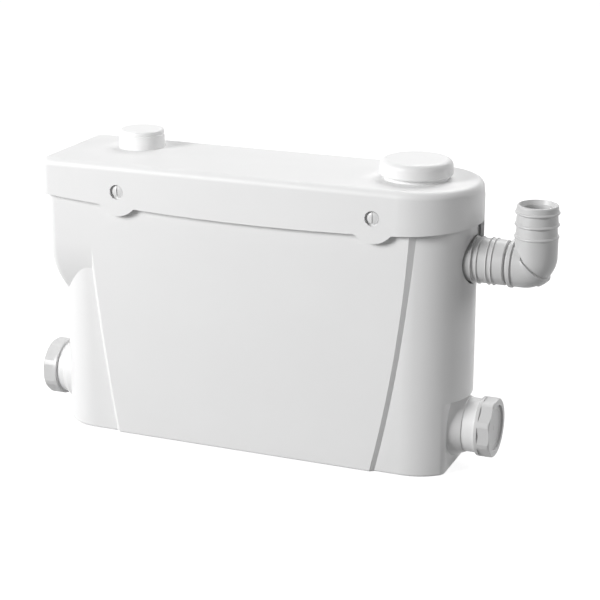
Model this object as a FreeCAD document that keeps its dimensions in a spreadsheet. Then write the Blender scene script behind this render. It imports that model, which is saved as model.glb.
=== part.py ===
"""Slim sewage lifting unit: a moulded tank with a screwed lid, side inlets, a pan inlet behind,
a macerator pump and a swivelling discharge elbow.

Frame: origin at the middle of the tank's base, +Z up, +X towards the discharge end, -Y to the front.
Lengths are in millimetres.
"""
import FreeCAD, Part
import math
import os
import Sketcher
from FreeCAD import Placement, Rotation, Vector

os.makedirs("parts", exist_ok=True)
doc = FreeCAD.newDocument("lifting_unit")
sheet = doc.addObject("Spreadsheet::Sheet", "Sizes")


# Driving dimensions

DRIVING = {
    # lid
    "lid_length": 418, "lid_depth": 118, "unit_height": 270, "lid_wall": 3, "lid_draft": 1,
    "lid_corner": 10, "lid_edge": 7, "skirt_height": 44, "skirt_arc": 2500, "skirt_low_x": 10,
    "lug_radius": 22.7, "lug_blend": 5, "lug_spacing": 252.8, "lug_drop": 26.3,
    "screw_recess": 6.9, "recess_depth": 3.6, "screw_radius": 2, "screw_head": 5.7, "screw_head_height": 2.4,
    "screw_slot": 1.2, "slot_depth": 1.1,
    "screw_grip": 9, "screw_play": 0.4, "tongue_drop": 66, "tongue_from": 13, "tongue_to": 48, "tongue_gap": 2.2,
    # tank
    "left_gap": 3.5, "right_gap": 4.7, "side_gap": 8.7, "rim_gap": 8, "tank_wall": 4, "rim_wall": 2.5,
    "tank_floor": 4, "flank_radius": 41, "panel_proud": 3, "panel_slope": 53, "panel_foot": 1.5,
    "panel_right_arc": 1350, "panel_left_arc": 2600,
    "block_corner": 9, "block_reach": 60, "roll_radius": 100, "roll_below": 82, "roll_drop": 58,
    "end_roll_below": 91,
    "pocket_height": 70, "pocket_blend": 10, "base_edge": 2.2, "deck_drop": 45,
    "deck_thickness": 4,
    # side inlets
    "inlet_height": 40.2, "neck_radius": 25.4, "neck_bore": 20.3,
    "flare_radius": 31, "flare_right": 13, "flare_left": 7, "flare_root": 9,
    "nut_radius": 27.8, "nut_length": 14.9, "nut_lip": 2,
    "nut_window": 21.4, "nut_play": 0.2, "nut_flat": 26.5, "nut_collar": 3.3, "nut_edge": 1.8, "washer_height": 2,
    "blank_thickness": 2,
    # non-return valves
    "valve_play": 0.1, "seat_height": 4, "seat_hole": 12.5, "flap_radius": 14.3, "flap_height": 2.2,
    "flap_gap": 0.3, "flap_hinge": 15.8, "flap_pin": 1.25, "pin_play": 0.08, "ear_inner": 6.5,
    "ear_outer": 8.5, "ear_reach": 18.2, "ear_height": 3.6,
    # caps on the lid
    "vent_y": 21.5, "vent_radius": 22.2, "vent_height": 17.4, "vent_neck": 18,
    "vent_bore": 15, "vent_hole": 12, "filter_height": 7, "cap_wall": 2.5, "vent_groove": 0.8,
    "access_radius": 33.3, "access_height": 14.6, "access_neck": 29.4, "access_bore": 27,
    "access_lift": 3, "access_plug": 14, "seal_wire": 1.2,
    # pan inlet at the back
    "pan_x": 0, "pan_drop": 110, "pan_radius": 54, "pan_bore": 50, "pan_spigot": 20,
    "sleeve_wall": 3.5, "sleeve_play": 0.3, "sleeve_length": 46, "sleeve_overlap": 15, "sleeve_bore": 51,
    "clamp_width": 9, "clamp_height": 1.2,
    # discharge
    "outlet_drop": 70.5, "outlet_hole": 22.5, "housing_radius": 23,
    "pipe_radius": 12, "pipe_wall": 2.5, "riser_bend": 18, "spigot_radius": 16.95,
    "spigot_wall": 2.6, "hose_radius": 20.5, "hose_groove": 19.3, "disc_width": 1.8, "rib_height": 1.1,
    "rib_width": 2.2, "elbow_bend": 9.5, "collar_groove": 2.4,
    "elbow_radius": 20.7, "elbow_upper": 19.3, "elbow_bore": 14, "elbow_stop": 27, "elbow_top": 56.2,
    "elbow_collar": 3.8, "collar_proud": 1.1, "barb_pitch": 10.9, "barb_top": 49.4, "barb_radius": 20.1,
    "barb_body": 18.9, "barb_waist": 18.1, "bead_radius": 1.5, "mouth_radius": 16.6, "mouth_foot": 15.4,
    "mouth_depth": 4, "mitre_proud": 1.1, "mitre_from": 29, "mitre_to": 47,
    # pump and motor
    "basket_radius": 38, "basket_height": 42, "basket_wall": 2.5, "basket_slots": 16,
    "slot_width": 7, "casing_radius": 36, "casing_height": 24, "casing_wall": 5, "suction_eye": 14,
    "nozzle_radius": 11, "plate_radius": 40, "plate_height": 10, "can_gap": 3.5, "can_wall": 2.5,
    "shaft_radius": 5, "fit": 0.03, "running": 0.06, "bearing_radius": 14,
    "bearing_height": 9, "seal_radius": 10, "stator_height": 40, "stator_bore": 21, "winding_height": 8,
    "rotor_radius": 20.4, "impeller_radius": 28, "vane_height": 8, "vane_thickness": 2.2, "vanes": 6,
    "cutter_reach": 33, "cutter_width": 11, "cutter_height": 3, "cutter_level": 34,
    # pressure switch and electrics on the deck
    "bell_radius": 21, "bell_wall": 2.5, "bell_foot": 25, "bell_flange": 28,
    "flange_height": 3, "diaphragm_height": 2, "switch_height": 12, "plunger_radius": 3,
    "plunger_travel": 3, "capacitor_radius": 14, "capacitor_length": 62, "capacitor_x": 25,
    "clip_wall": 2, "block_length": 46, "block_width": 20, "block_height": 16, "block_x": 92,
    "gland_x": 60, "gland_drop": 24, "gland_thread": 8, "gland_reach": 20, "gland_hex": 12,
    # clearances
    "deck_play": 0.3, "seat_gap": 0.3,
    # places counted from the tank's right end, outwards
    "pocket_wall": -13.3, "panel_right_foot": -80.3, "panel_right_head": -43.3, "right_reach": 19.7,
    "right_valve": 1.7, "housing_end": -12.3, "disc_near": 0.9, "disc_far": 6.3, "rib_near": 15.5,
    "rib_far": 20.1, "hose_end": 31.4, "collar_from": 33.7, "spigot_end": 38.7, "elbow_x": 55.7,
    "motor_x": -66.3, "riser_x": -126.3,
    # places counted from the tank's left end, outwards
    "panel_left_foot": -71.8, "panel_left_head": -47, "left_reach": 21.9, "left_valve": 0.5,
    "bell_x": -105.5,
    # places counted from the lid's left end and from the centre of its round end
    "vent_x": -69.4, "access_x": -2.9,
}
RIGHT_PLACES = (
    "pocket_wall", "panel_right_foot", "panel_right_head", "right_reach", "right_valve", "housing_end",
    "disc_near", "disc_far", "rib_near", "rib_far", "hose_end", "collar_from", "spigot_end", "elbow_x",
    "motor_x", "riser_x",
)
LEFT_PLACES = ("panel_left_foot", "panel_left_head", "left_reach", "left_valve", "bell_x")


class Size:
    """A length with the sheet formula that gives it: value draws the geometry and text binds it."""

    def __init__(self, value, text):
        self.value = float(value)
        self.text = text

    def __add__(self, other):
        other = as_size(other)
        return Size(self.value + other.value, "(%s + %s)" % (self.text, other.text))

    def __sub__(self, other):
        other = as_size(other)
        return Size(self.value - other.value, "(%s - %s)" % (self.text, other.text))

    def __mul__(self, other):
        other = as_size(other)
        return Size(self.value * other.value, "(%s * %s)" % (self.text, other.text))

    def __truediv__(self, other):
        other = as_size(other)
        return Size(self.value / other.value, "(%s / %s)" % (self.text, other.text))

    def __neg__(self):
        return Size(-self.value, "(0 - %s)" % self.text)

    def __radd__(self, other):
        return as_size(other) + self

    def __rsub__(self, other):
        return as_size(other) - self

    def __rmul__(self, other):
        return as_size(other) * self


def as_size(number):
    """A plain number as a Size, so that both can stand in one formula."""
    return number if isinstance(number, Size) else Size(number, repr(float(number)))


def root(size):
    """Square root of a Size."""
    return Size(math.sqrt(size.value), "sqrt(%s)" % size.text)


def side_of(hypotenuse, side):
    """Other short side of a right triangle."""
    return root(hypotenuse * hypotenuse - side * side)


class Named:
    """The driving dimensions by name."""


d = Named()
for row, (name, value) in enumerate(DRIVING.items(), start=1):
    sheet.set("A%d" % row, name)
    sheet.set("B%d" % row, str(value))
    sheet.setAlias("B%d" % row, name)
    setattr(d, name, Size(value, "Sizes." + name))
doc.recompute()


# Drawing tools

TURNS = {
    "up": Rotation(),
    "right": Rotation(Vector(0, 1, 0), 90),
    "left": Rotation(Vector(0, 1, 0), -90),
    "back": Rotation(Vector(1, 0, 0), -90),
    "front": Rotation(Vector(1, 0, 0), 90),
}
bodies = []


def new_body(label, at=(0, 0, 0), turn="up"):
    """A body whose place follows the sheet; turn says where its own Z axis points."""
    body = doc.addObject("PartDesign::Body", label)
    body.Label = label
    body.Placement = Placement(Vector(), TURNS[turn])
    for letter, size in zip("xyz", at):
        body.setExpression("Placement.Base." + letter, as_size(size).text)
    bodies.append(body)
    return body


def new_sketch(body, name, plane, away=0, up=0):
    """A sketch on one of the body's own origin planes, moved away along the plane's normal."""
    sketch = body.newObject("Sketcher::SketchObject", body.Name + "_" + name)
    support = next(item for item in body.Origin.OriginFeatures if item.Role == plane)
    sketch.AttachmentSupport = [(support, "")]
    sketch.MapMode = "FlatFace"
    sketch.setExpression("AttachmentOffset.Base.z", as_size(away).text)
    sketch.setExpression("AttachmentOffset.Base.y", as_size(up).text)
    return sketch


def bind(sketch, constraint, size):
    """Add a constraint and tie its value to the sheet."""
    index = sketch.addConstraint(constraint)
    sketch.setExpression("Constraints[%d]" % index, size.text)


def arc_between(start, end, radius, turn):
    """The short arc from start to end, turning left or right on the way."""
    chord = end - start
    rise = math.sqrt(max(radius ** 2 - (chord.Length / 2) ** 2, 0))
    left = Vector(-chord.y, chord.x, 0).normalize()
    centre = (start + end) * 0.5 + left * (rise if turn == "left" else -rise)
    if turn == "right":
        start, end = end, start
    angles = [math.atan2(point.y - centre.y, point.x - centre.x) for point in (start, end)]
    return Part.ArcOfCircle(Part.Circle(centre, Vector(0, 0, 1), radius), *angles)


def outline(sketch, points):
    """A closed outline. Each point is (x, y), or (x, y, radius, turn) where an arc leads to it."""
    corners = [[as_size(part) if not isinstance(part, str) else part for part in point] for point in points]
    spots = [Vector(corner[0].value, corner[1].value, 0) for corner in corners]
    ends = []
    for index, corner in enumerate(corners):
        if len(corner) == 2:
            line = sketch.addGeometry(Part.LineSegment(spots[index - 1], spots[index]), False)
            ends.append((line, 1, 2))
            continue
        arc = arc_between(spots[index - 1], spots[index], corner[2].value, corner[3])
        first, last = (1, 2) if corner[3] == "left" else (2, 1)
        ends.append((sketch.addGeometry(arc, False), first, last))
    for index, corner in enumerate(corners):
        edge, _, last = ends[index]
        following, first, _ = ends[(index + 1) % len(ends)]
        sketch.addConstraint(Sketcher.Constraint("Coincident", edge, last, following, first))
        bind(sketch, Sketcher.Constraint("DistanceX", -1, 1, edge, last, corner[0].value), corner[0])
        bind(sketch, Sketcher.Constraint("DistanceY", -1, 1, edge, last, corner[1].value), corner[1])
        if len(corner) == 4:
            bind(sketch, Sketcher.Constraint("Radius", edge, corner[2].value), corner[2])
    return sketch


def circle(sketch, x, y, radius):
    """A full circle with its centre and radius bound."""
    x, y, radius = as_size(x), as_size(y), as_size(radius)
    shape = Part.Circle(Vector(x.value, y.value, 0), Vector(0, 0, 1), radius.value)
    edge = sketch.addGeometry(shape, False)
    bind(sketch, Sketcher.Constraint("DistanceX", -1, 1, edge, 3, x.value), x)
    bind(sketch, Sketcher.Constraint("DistanceY", -1, 1, edge, 3, y.value), y)
    bind(sketch, Sketcher.Constraint("Radius", edge, radius.value), radius)
    return sketch


def box_outline(sketch, x0, y0, x1, y1):
    """An upright rectangle between two corners."""
    return outline(sketch, [(x0, y0), (x1, y0), (x1, y1), (x0, y1)])


def swept(body, kind, sketch, length, reverse=False, middle=False, taper=0):
    """A pad or a pocket of a sketch; a pad goes along the sketch's normal and a pocket against it."""
    feature = body.newObject("PartDesign::" + kind, sketch.Name + "_" + kind.lower())
    feature.Profile = (sketch, [""])
    feature.setExpression("Length", as_size(length).text)
    feature.Reversed = reverse
    feature.Midplane = middle
    if taper:
        feature.setExpression("TaperAngle", as_size(taper).text)
    return feature


def pad(body, sketch, length, **how):
    return swept(body, "Pad", sketch, length, **how)


def pocket(body, sketch, length, **how):
    return swept(body, "Pocket", sketch, length, **how)


def turned(body, name, profile, cut=False, axis="V_Axis", plane="XZ_Plane", away=0, aside=0):
    """A profile revolved round an axis of its sketch: points (radius, height) for the body's own Z axis."""
    sketch = new_sketch(body, name, plane, away)
    sketch.setExpression("AttachmentOffset.Base.x", as_size(aside).text)
    outline(sketch, profile)
    kind = "Groove" if cut else "Revolution"
    feature = body.newObject("PartDesign::" + kind, sketch.Name + "_turn")
    feature.Profile = (sketch, [""])
    feature.ReferenceAxis = (sketch, [axis])
    feature.Angle = 360
    return feature


def ring_profile(inner, outer, low, high):
    """A plain rectangular section."""
    return [(inner, low), (outer, low), (outer, high), (inner, high)]


def turned_part(label, profile, at=(0, 0, 0), turn="up"):
    """A whole sub-part made by one revolve."""
    body = new_body(label, at, turn)
    turned(body, "profile", profile)
    return body


def mirrored(body, features, plane="XZ_Plane"):
    """The features again on the other side of one of the body's planes."""
    copy = body.newObject("PartDesign::Mirrored", features[0].Name + "_mirrored")
    copy.Originals = features
    support = next(item for item in body.Origin.OriginFeatures if item.Role == plane)
    copy.MirrorPlane = (support, [""])
    body.Tip = copy
    return copy


def around(body, features, count):
    """The features repeated round the body's own Z axis."""
    copy = body.newObject("PartDesign::PolarPattern", features[0].Name + "_around")
    copy.Originals = features
    axis = next(item for item in body.Origin.OriginFeatures if item.Role == "Z_Axis")
    copy.Axis = (axis, [""])
    copy.Angle = 360
    copy.setExpression("Occurrences", count.text)
    body.Tip = copy
    return copy


# Places that several sub-parts share

half_lid = d.lid_depth / 2
lid_end = d.lid_length / 2
lid_round_x = lid_end - half_lid
half_tank = half_lid - d.side_gap
tank_left = lid_end - d.left_gap
tank_right = lid_end - d.right_gap
tank_round_x = tank_right - half_tank
panel_face = half_tank + d.panel_proud
rim = d.unit_height - d.rim_gap
lug_x = d.lug_spacing / 2
d.deck_height = d.unit_height - d.deck_drop
deck_top = d.deck_height + d.deck_thickness
skirt_low = d.unit_height - d.skirt_height
d.lug_height = d.unit_height - d.lug_drop
d.gland_height = d.unit_height - d.gland_drop
d.pan_height = d.unit_height - d.pan_drop
d.outlet_height = d.unit_height - d.outlet_drop
d.roll_top = d.unit_height - d.roll_below
for name in RIGHT_PLACES:
    setattr(d, name, tank_right + getattr(d, name))
for name in LEFT_PLACES:
    setattr(d, name, tank_left + getattr(d, name))
d.vent_x = lid_end + d.vent_x
d.access_x = lid_round_x + d.access_x
FAR = 400


def long_outline(left, right_centre, half, corner, left_flat=None):
    """Plan outline: square end with rounded corners on the left, half a circle on the right."""
    return [
        (right_centre, -half),
        (right_centre + half, 0, half, "left"),
        (right_centre, half, half, "left"),
        (corner - left, half),
        (-left, half - corner, corner, "left"),
        (-left, corner - half),
        (corner - left, -half, corner, "left"),
    ]


def flat_end(half, wall, blend):
    """Where a half-round end meets a flat wall: x and y of the circle's tangent point, y of the wall's."""
    inner = half - blend
    across = wall - blend - tank_round_x
    rise = side_of(inner, across)
    return tank_round_x + across * half / inner, rise * half / inner, rise


# Tank: one moulding with a recessed flank, a proud panel, inlet necks and the pan spigot

def make_tank():
    tank = new_body("tank")

    # upper left block, whose underside rolls in towards the slimmer flank
    block_foot = d.roll_top - d.roll_drop
    block_right = d.block_reach - tank_left
    block = new_sketch(tank, "block", "XY_Plane", block_foot)
    box_outline(block, -tank_left, -panel_face, block_right, panel_face)
    pad(tank, block, rim - block_foot)
    end_top = d.unit_height - d.end_roll_below
    inset = d.roll_radius - side_of(d.roll_radius, end_top - block_foot)
    roll_end = [
        (-tank_left, end_top), (inset - tank_left, block_foot, d.roll_radius, "left"),
        (-tank_left - 5, block_foot), (-tank_left - 5, end_top),
    ]
    pocket(tank, outline(new_sketch(tank, "roll_end", "XZ_Plane"), roll_end), FAR, middle=True)
    inset = d.roll_radius - side_of(d.roll_radius, d.roll_drop)
    roll_front = [
        (-panel_face, d.roll_top), (inset - panel_face, block_foot, d.roll_radius, "left"),
        (-panel_face - 5, block_foot), (-panel_face - 5, d.roll_top),
    ]
    front = pocket(tank, outline(new_sketch(tank, "roll_front", "YZ_Plane"), roll_front), FAR * 2, middle=True)
    mirrored(tank, [front])

    # its corners, rounded down to the flank
    doc.recompute()
    shape = tank.Tip.Shape
    corners = tank.newObject("PartDesign::Fillet", "tank_block_corners")
    upright = [
        "Edge%d" % (index + 1) for index, item in enumerate(shape.Edges)
        if abs(item.BoundBox.XMax + tank_left.value) < 0.01 and abs(item.BoundBox.YLength) < 0.01
        and item.BoundBox.ZMax > d.roll_top.value + 1
    ]
    corners.Base = (corners.BaseFeature, upright)
    corners.setExpression("Radius", d.block_corner.text)

    # main moulding
    plan = new_sketch(tank, "plan", "XY_Plane")
    outline(plan, long_outline(tank_left, tank_round_x, half_tank, d.flank_radius))
    pad(tank, plan, rim)

    # proud panel, front and back, with sloping sides
    for side, sign in (("front", 1), ("back", -1)):
        panel = new_sketch(tank, "panel_" + side, "XZ_Plane", sign * panel_face)
        outline(panel, [
            (-d.panel_left_foot, -d.panel_foot), (d.panel_right_foot, -d.panel_foot),
            (d.panel_right_head, rim + d.panel_foot, d.panel_right_arc, "left"),
            (-d.panel_left_head, rim + d.panel_foot), (-d.panel_left_head, d.roll_top),
            (-d.panel_left_foot, -d.panel_foot, d.panel_left_arc, "left"),
        ][1:])
        pad(tank, panel, d.panel_proud + 1, reverse=sign > 0, taper=d.panel_slope)
    trim = new_sketch(tank, "rim_trim", "XY_Plane", rim)
    box_outline(trim, -d.lid_length, -d.lid_depth, d.lid_length, d.lid_depth)
    pocket(tank, trim, d.rim_gap * 2, reverse=True)
    foot = new_sketch(tank, "foot_trim", "XY_Plane")
    box_outline(foot, -d.lid_length, -d.lid_depth, d.lid_length, d.lid_depth)
    pocket(tank, foot, d.rim_gap * 2)

    # flat end wall low on the right, where the side inlet leaves
    round_x, round_y, wall_y = flat_end(half_tank, d.pocket_wall, d.pocket_blend)
    beyond = d.pocket_wall + half_tank
    end_wall = new_sketch(tank, "end_wall", "XY_Plane", d.pocket_height)
    outline(end_wall, [
        (beyond, -round_y), (beyond, round_y), (round_x, round_y), (d.pocket_wall, wall_y, d.pocket_blend, "right"),
        (d.pocket_wall, -wall_y), (round_x, -round_y, d.pocket_blend, "right"),
    ])
    pocket(tank, end_wall, d.pocket_height + d.panel_foot)

    # bottom edge
    doc.recompute()
    shape = tank.Tip.Shape
    base = tank.newObject("PartDesign::Fillet", "tank_base_edge")
    face = next(
        "Face%d" % (index + 1) for index, item in enumerate(shape.Faces)
        if abs(item.BoundBox.ZMax) < 0.01 and abs(item.BoundBox.ZMin) < 0.01
    )
    base.Base = (base.BaseFeature, [face])
    base.setExpression("Radius", d.base_edge.text)

    # inlet necks, flared where they meet the wall
    for side, sign, wall, reach, flare_length, slope in (
            ("right", 1, d.pocket_wall, d.right_reach, d.flare_right, -20),
            ("left", -1, tank_left, d.left_reach, d.flare_left, -35)):
        neck = circle(new_sketch(tank, "neck_" + side, "YZ_Plane", sign * (wall - d.tank_wall)), 0,
                      d.inlet_height, d.neck_radius)
        pad(tank, neck, reach - wall + d.tank_wall, reverse=sign < 0)
        for name, away, length, taper in (("flare_", wall - 1, flare_length, slope),
                                          ("flare_root_", wall - d.flare_root, d.flare_root - 1, 0)):
            flare = circle(new_sketch(tank, name + side, "YZ_Plane", sign * away), 0, d.inlet_height,
                           d.flare_radius)
            pad(tank, flare, length, reverse=sign < 0, taper=taper)

    # pan spigot behind
    spigot = circle(new_sketch(tank, "pan", "XZ_Plane", -half_tank), d.pan_x, d.pan_height, d.pan_radius)
    pad(tank, spigot, d.panel_proud + d.pan_spigot, reverse=True)

    # hollow: a sump, the space above it, and a wider rim that leaves a ledge for the deck
    inner = half_tank - d.tank_wall
    sump_end = d.pocket_wall - d.tank_wall
    blend = d.pocket_blend - d.tank_wall
    round_x, round_y, wall_y = flat_end(inner, sump_end, blend)
    flank = d.flank_radius - d.tank_wall
    sump = new_sketch(tank, "sump", "XY_Plane", d.tank_floor)
    outline(sump, [
        (tank_round_x, -inner), (round_x, -round_y, inner, "left"), (sump_end, -wall_y, blend, "left"),
        (sump_end, wall_y), (round_x, round_y, blend, "left"),
        (tank_round_x, inner, inner, "left"), (d.tank_wall - tank_left + flank, inner),
        (d.tank_wall - tank_left, inner - flank, flank, "left"),
        (d.tank_wall - tank_left, flank - inner),
        (d.tank_wall - tank_left + flank, -inner, flank, "left"),
    ])
    pocket(tank, sump, rim, reverse=True)
    upper = new_sketch(tank, "upper_space", "XY_Plane", d.pocket_height + d.tank_wall)
    outline(upper, long_outline(tank_left - d.tank_wall, tank_round_x, inner, flank))
    pocket(tank, upper, rim, reverse=True)
    brim = new_sketch(tank, "brim", "XY_Plane", d.deck_height)
    outline(brim, long_outline(tank_left - d.rim_wall, tank_round_x, half_tank - d.rim_wall, d.block_corner))
    pocket(tank, brim, rim, reverse=True)

    # openings
    bores = circle(new_sketch(tank, "side_bores", "YZ_Plane"), 0, d.inlet_height, d.neck_bore)
    pocket(tank, bores, d.left_reach * 3, middle=True)
    pan = circle(new_sketch(tank, "pan_bore", "XZ_Plane", -inner + 5), d.pan_x, d.pan_height, d.pan_bore)
    pocket(tank, pan, half_tank)
    outlet = circle(new_sketch(tank, "outlet", "YZ_Plane", tank_round_x), 0, d.outlet_height, d.outlet_hole)
    pocket(tank, outlet, half_tank * 2, reverse=True)

    # notch in the back of the rim that clears the cable gland
    notch = new_sketch(tank, "gland_notch", "XZ_Plane", d.rim_wall + 3 - half_tank)
    low_side = d.gland_height - d.gland_hex - 1
    box_outline(notch, -d.gland_x - d.gland_hex - 1, low_side, -d.gland_x + d.gland_hex + 1, rim + 1)
    pocket(tank, notch, d.gland_hex)

    # bosses that take the lid screws
    bosses = []
    for side, x in (("right", lug_x), ("left", -lug_x)):
        boss = circle(new_sketch(tank, "boss_" + side, "XZ_Plane", half_tank - 0.5), x, d.lug_height,
                      d.screw_radius * 3)
        bosses.append(pad(tank, boss, d.screw_grip, reverse=True))
    mirrored(tank, bosses)
    holes = new_sketch(tank, "screw_holes", "XZ_Plane")
    circle(holes, lug_x, d.lug_height, d.screw_radius + d.running)
    circle(holes, -lug_x, d.lug_height, d.screw_radius + d.running)
    pocket(tank, holes, d.lid_depth, middle=True)
    return tank


# Lid: a shell with a curved skirt edge, four screw lugs and two necks

def skirt_edge(x):
    """Height of the skirt's edge at x, on its wide arc."""
    return skirt_low + d.skirt_arc - side_of(d.skirt_arc, x - d.skirt_low_x)


def lug_points(x):
    """Outline round one lug, from its right side to its left."""
    drop = d.lug_height - skirt_edge(x) + d.lug_blend
    reach = side_of(d.lug_radius + d.lug_blend, drop)
    share = d.lug_radius / (d.lug_radius + d.lug_blend)
    tangent_z = d.lug_height - drop * share
    return [
        (x + reach, skirt_edge(x + reach), d.skirt_arc, "right"),
        (x + reach * share, tangent_z, d.lug_blend, "left"),
        (x, d.lug_height - d.lug_radius, d.lug_radius, "right"),
        (x - reach * share, tangent_z, d.lug_radius, "right"),
        (x - reach, skirt_edge(x - reach), d.lug_blend, "left"),
    ]


def make_lid():
    lid = new_body("lid")
    depth = d.lug_radius + d.unit_height - d.lug_height + 5
    plan = new_sketch(lid, "plan", "XY_Plane", d.unit_height)
    outline(plan, long_outline(lid_end, lid_round_x, half_lid, d.lid_corner))
    pad(lid, plan, depth, reverse=True, taper=d.lid_draft)
    doc.recompute()
    shape = lid.Tip.Shape
    edge = lid.newObject("PartDesign::Fillet", "lid_top_edge")
    face = next(
        "Face%d" % (index + 1) for index, item in enumerate(shape.Faces)
        if abs(item.BoundBox.ZMin - d.unit_height.value) < 0.01
    )
    edge.Base = (edge.BaseFeature, [face])
    edge.setExpression("Radius", d.lid_edge.text)

    # the skirt's edge and its lugs
    beyond = lid_end + 10
    below = d.unit_height - depth - 5
    cut = [(-beyond, below), (beyond, below), (beyond, skirt_edge(beyond))]
    cut += lug_points(lug_x) + lug_points(-lug_x)
    cut += [(-beyond, skirt_edge(-beyond), d.skirt_arc, "right")]
    skirt = outline(new_sketch(lid, "skirt", "XZ_Plane"), cut)
    pocket(lid, skirt, FAR, middle=True)

    # tongue that closes the gap above the discharge pipe
    outer = half_lid + 0.6
    inner = half_lid - d.lid_wall + 0.7
    tongue = new_sketch(lid, "tongue", "XY_Plane", d.unit_height - d.tongue_drop)
    outline(tongue, [
        (lid_round_x + side_of(inner, d.tongue_from), d.tongue_from),
        (lid_round_x + side_of(outer, d.tongue_from), d.tongue_from),
        (lid_round_x + side_of(outer, d.tongue_to), d.tongue_to, outer, "left"),
        (lid_round_x + side_of(inner, d.tongue_to), d.tongue_to),
        (lid_round_x + side_of(inner, d.tongue_from), d.tongue_from, inner, "right"),
    ][1:])
    pad(lid, tongue, d.tongue_drop - d.lid_edge - 5)
    clear = circle(new_sketch(lid, "pipe_clearance", "YZ_Plane", lid_round_x), 0, d.outlet_height,
                   d.hose_radius + d.rib_height + d.tongue_gap)
    pocket(lid, clear, half_lid * 2, reverse=True)

    # hollow
    space = new_sketch(lid, "space", "XY_Plane", d.unit_height - d.lid_wall)
    outline(space, long_outline(lid_end - d.lid_wall, lid_round_x, half_lid - d.lid_wall,
                                d.lid_corner - d.lid_wall))
    pocket(lid, space, depth, taper=d.lid_draft)

    # necks of the two caps
    neck_foot = d.unit_height - d.lid_wall / 2
    access = circle(new_sketch(lid, "access_neck", "XY_Plane", neck_foot), d.access_x, 0, d.access_neck)
    pad(lid, access, d.access_lift + d.lid_wall / 2)
    vent = circle(new_sketch(lid, "vent_neck", "XY_Plane", neck_foot), -d.vent_x, d.vent_y, d.vent_neck)
    pad(lid, vent, d.vent_height - d.cap_wall - 3 + d.lid_wall / 2)
    access_hole = circle(new_sketch(lid, "access_bore", "XY_Plane", d.unit_height - d.lid_wall * 2),
                         d.access_x, 0, d.access_bore)
    pocket(lid, access_hole, d.lid_wall * 4, reverse=True)
    vent_bore = circle(new_sketch(lid, "vent_bore", "XY_Plane", d.unit_height), -d.vent_x, d.vent_y, d.vent_bore)
    pocket(lid, vent_bore, d.vent_height, reverse=True)
    vent_hole = circle(new_sketch(lid, "vent_hole", "XY_Plane", d.unit_height - d.lid_wall * 2),
                       -d.vent_x, d.vent_y, d.vent_hole)
    pocket(lid, vent_hole, d.lid_wall * 3, reverse=True)

    # screw lugs: a pad behind the skirt, a recess for the head and a clear hole
    lugs = []
    for side, x in (("right", lug_x), ("left", -lug_x)):
        back = circle(new_sketch(lid, "lug_pad_" + side, "XZ_Plane", panel_face + d.seat_gap), x,
                      d.lug_height, d.screw_recess + 2.4)
        lugs.append(pad(lid, back, half_lid - panel_face - 1))
    mirrored(lid, lugs)
    heads = new_sketch(lid, "recesses", "XZ_Plane", half_lid + d.lid_draft - d.recess_depth - 0.5)
    circle(heads, lug_x, d.lug_height, d.screw_recess)
    circle(heads, -lug_x, d.lug_height, d.screw_recess)
    recesses = pocket(lid, heads, d.recess_depth * 3, reverse=True)
    mirrored(lid, [recesses])
    holes = new_sketch(lid, "clear_holes", "XZ_Plane")
    circle(holes, lug_x, d.lug_height, d.screw_radius + d.screw_play)
    circle(holes, -lug_x, d.lug_height, d.screw_radius + d.screw_play)
    pocket(lid, holes, FAR, middle=True)
    gland_hole = circle(new_sketch(lid, "gland_hole", "XZ_Plane", -half_lid + 8), -d.gland_x, d.gland_height,
                        d.gland_thread + d.running)
    pocket(lid, gland_hole, half_lid / 2)
    return lid


def make_lid_fixings():
    """Gasket on the tank's rim, and four screws through the lugs."""
    gasket = new_body("lid_gasket", (0, 0, rim))
    half = half_tank - 0.2
    ring = new_sketch(gasket, "ring", "XY_Plane")
    outline(ring, long_outline(tank_left - 0.2, tank_round_x, half, d.block_corner))
    pad(gasket, ring, d.rim_gap - d.lid_wall)
    middle = new_sketch(gasket, "middle", "XY_Plane")
    outline(middle, long_outline(tank_left - d.rim_wall + 0.2, tank_round_x, half_tank - d.rim_wall + 0.2,
                                 d.block_corner - 2))
    pocket(gasket, middle, d.rim_gap, reverse=True)

    screws = new_body("lid_screws")
    under_head = half_lid + d.lid_draft - d.recess_depth - 0.5
    top = under_head + d.screw_head_height
    tip = half_tank - d.screw_grip + 2
    dome = d.screw_head * 2
    profile = [
        (0, -top), (d.screw_head - 0.6, 0.9 - top, dome, "left"), (d.screw_head, 1.6 - top, 0.9, "left"),
        (d.screw_head, -under_head), (d.screw_radius, -under_head), (d.screw_radius, -tip - 2), (0, -tip),
    ]
    made = []
    for side, x in (("right", lug_x), ("left", -lug_x)):
        made.append(turned(screws, side, profile, plane="XY_Plane", away=d.lug_height, aside=x))
        slot = new_sketch(screws, "slot_" + side, "XZ_Plane", top - d.slot_depth)
        box_outline(slot, x - d.screw_slot / 2, d.lug_height - d.screw_head - 1, x + d.screw_slot / 2,
                    d.lug_height + d.screw_head + 1)
        made.append(pocket(screws, slot, d.slot_depth + 1, reverse=True))
    mirrored(screws, made)


def make_deck():
    """Inner deck on the tank's ledge, which keeps the electrics dry."""
    deck = new_body("inner_deck", (0, 0, d.deck_height))
    half = half_tank - d.rim_wall - d.deck_play
    plate = new_sketch(deck, "plate", "XY_Plane")
    outline(plate, long_outline(tank_left - d.rim_wall - d.deck_play, tank_round_x, half, d.block_corner))
    circle(plate, d.access_x, 0, d.access_bore)
    circle(plate, -d.bell_x, 0, d.bell_radius + d.deck_play)
    circle(plate, -d.vent_x - d.bell_radius, 0, d.vent_hole)
    pad(deck, plate, d.deck_thickness)


# Side inlets: washer, blanking disc and compression nut on each neck

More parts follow.
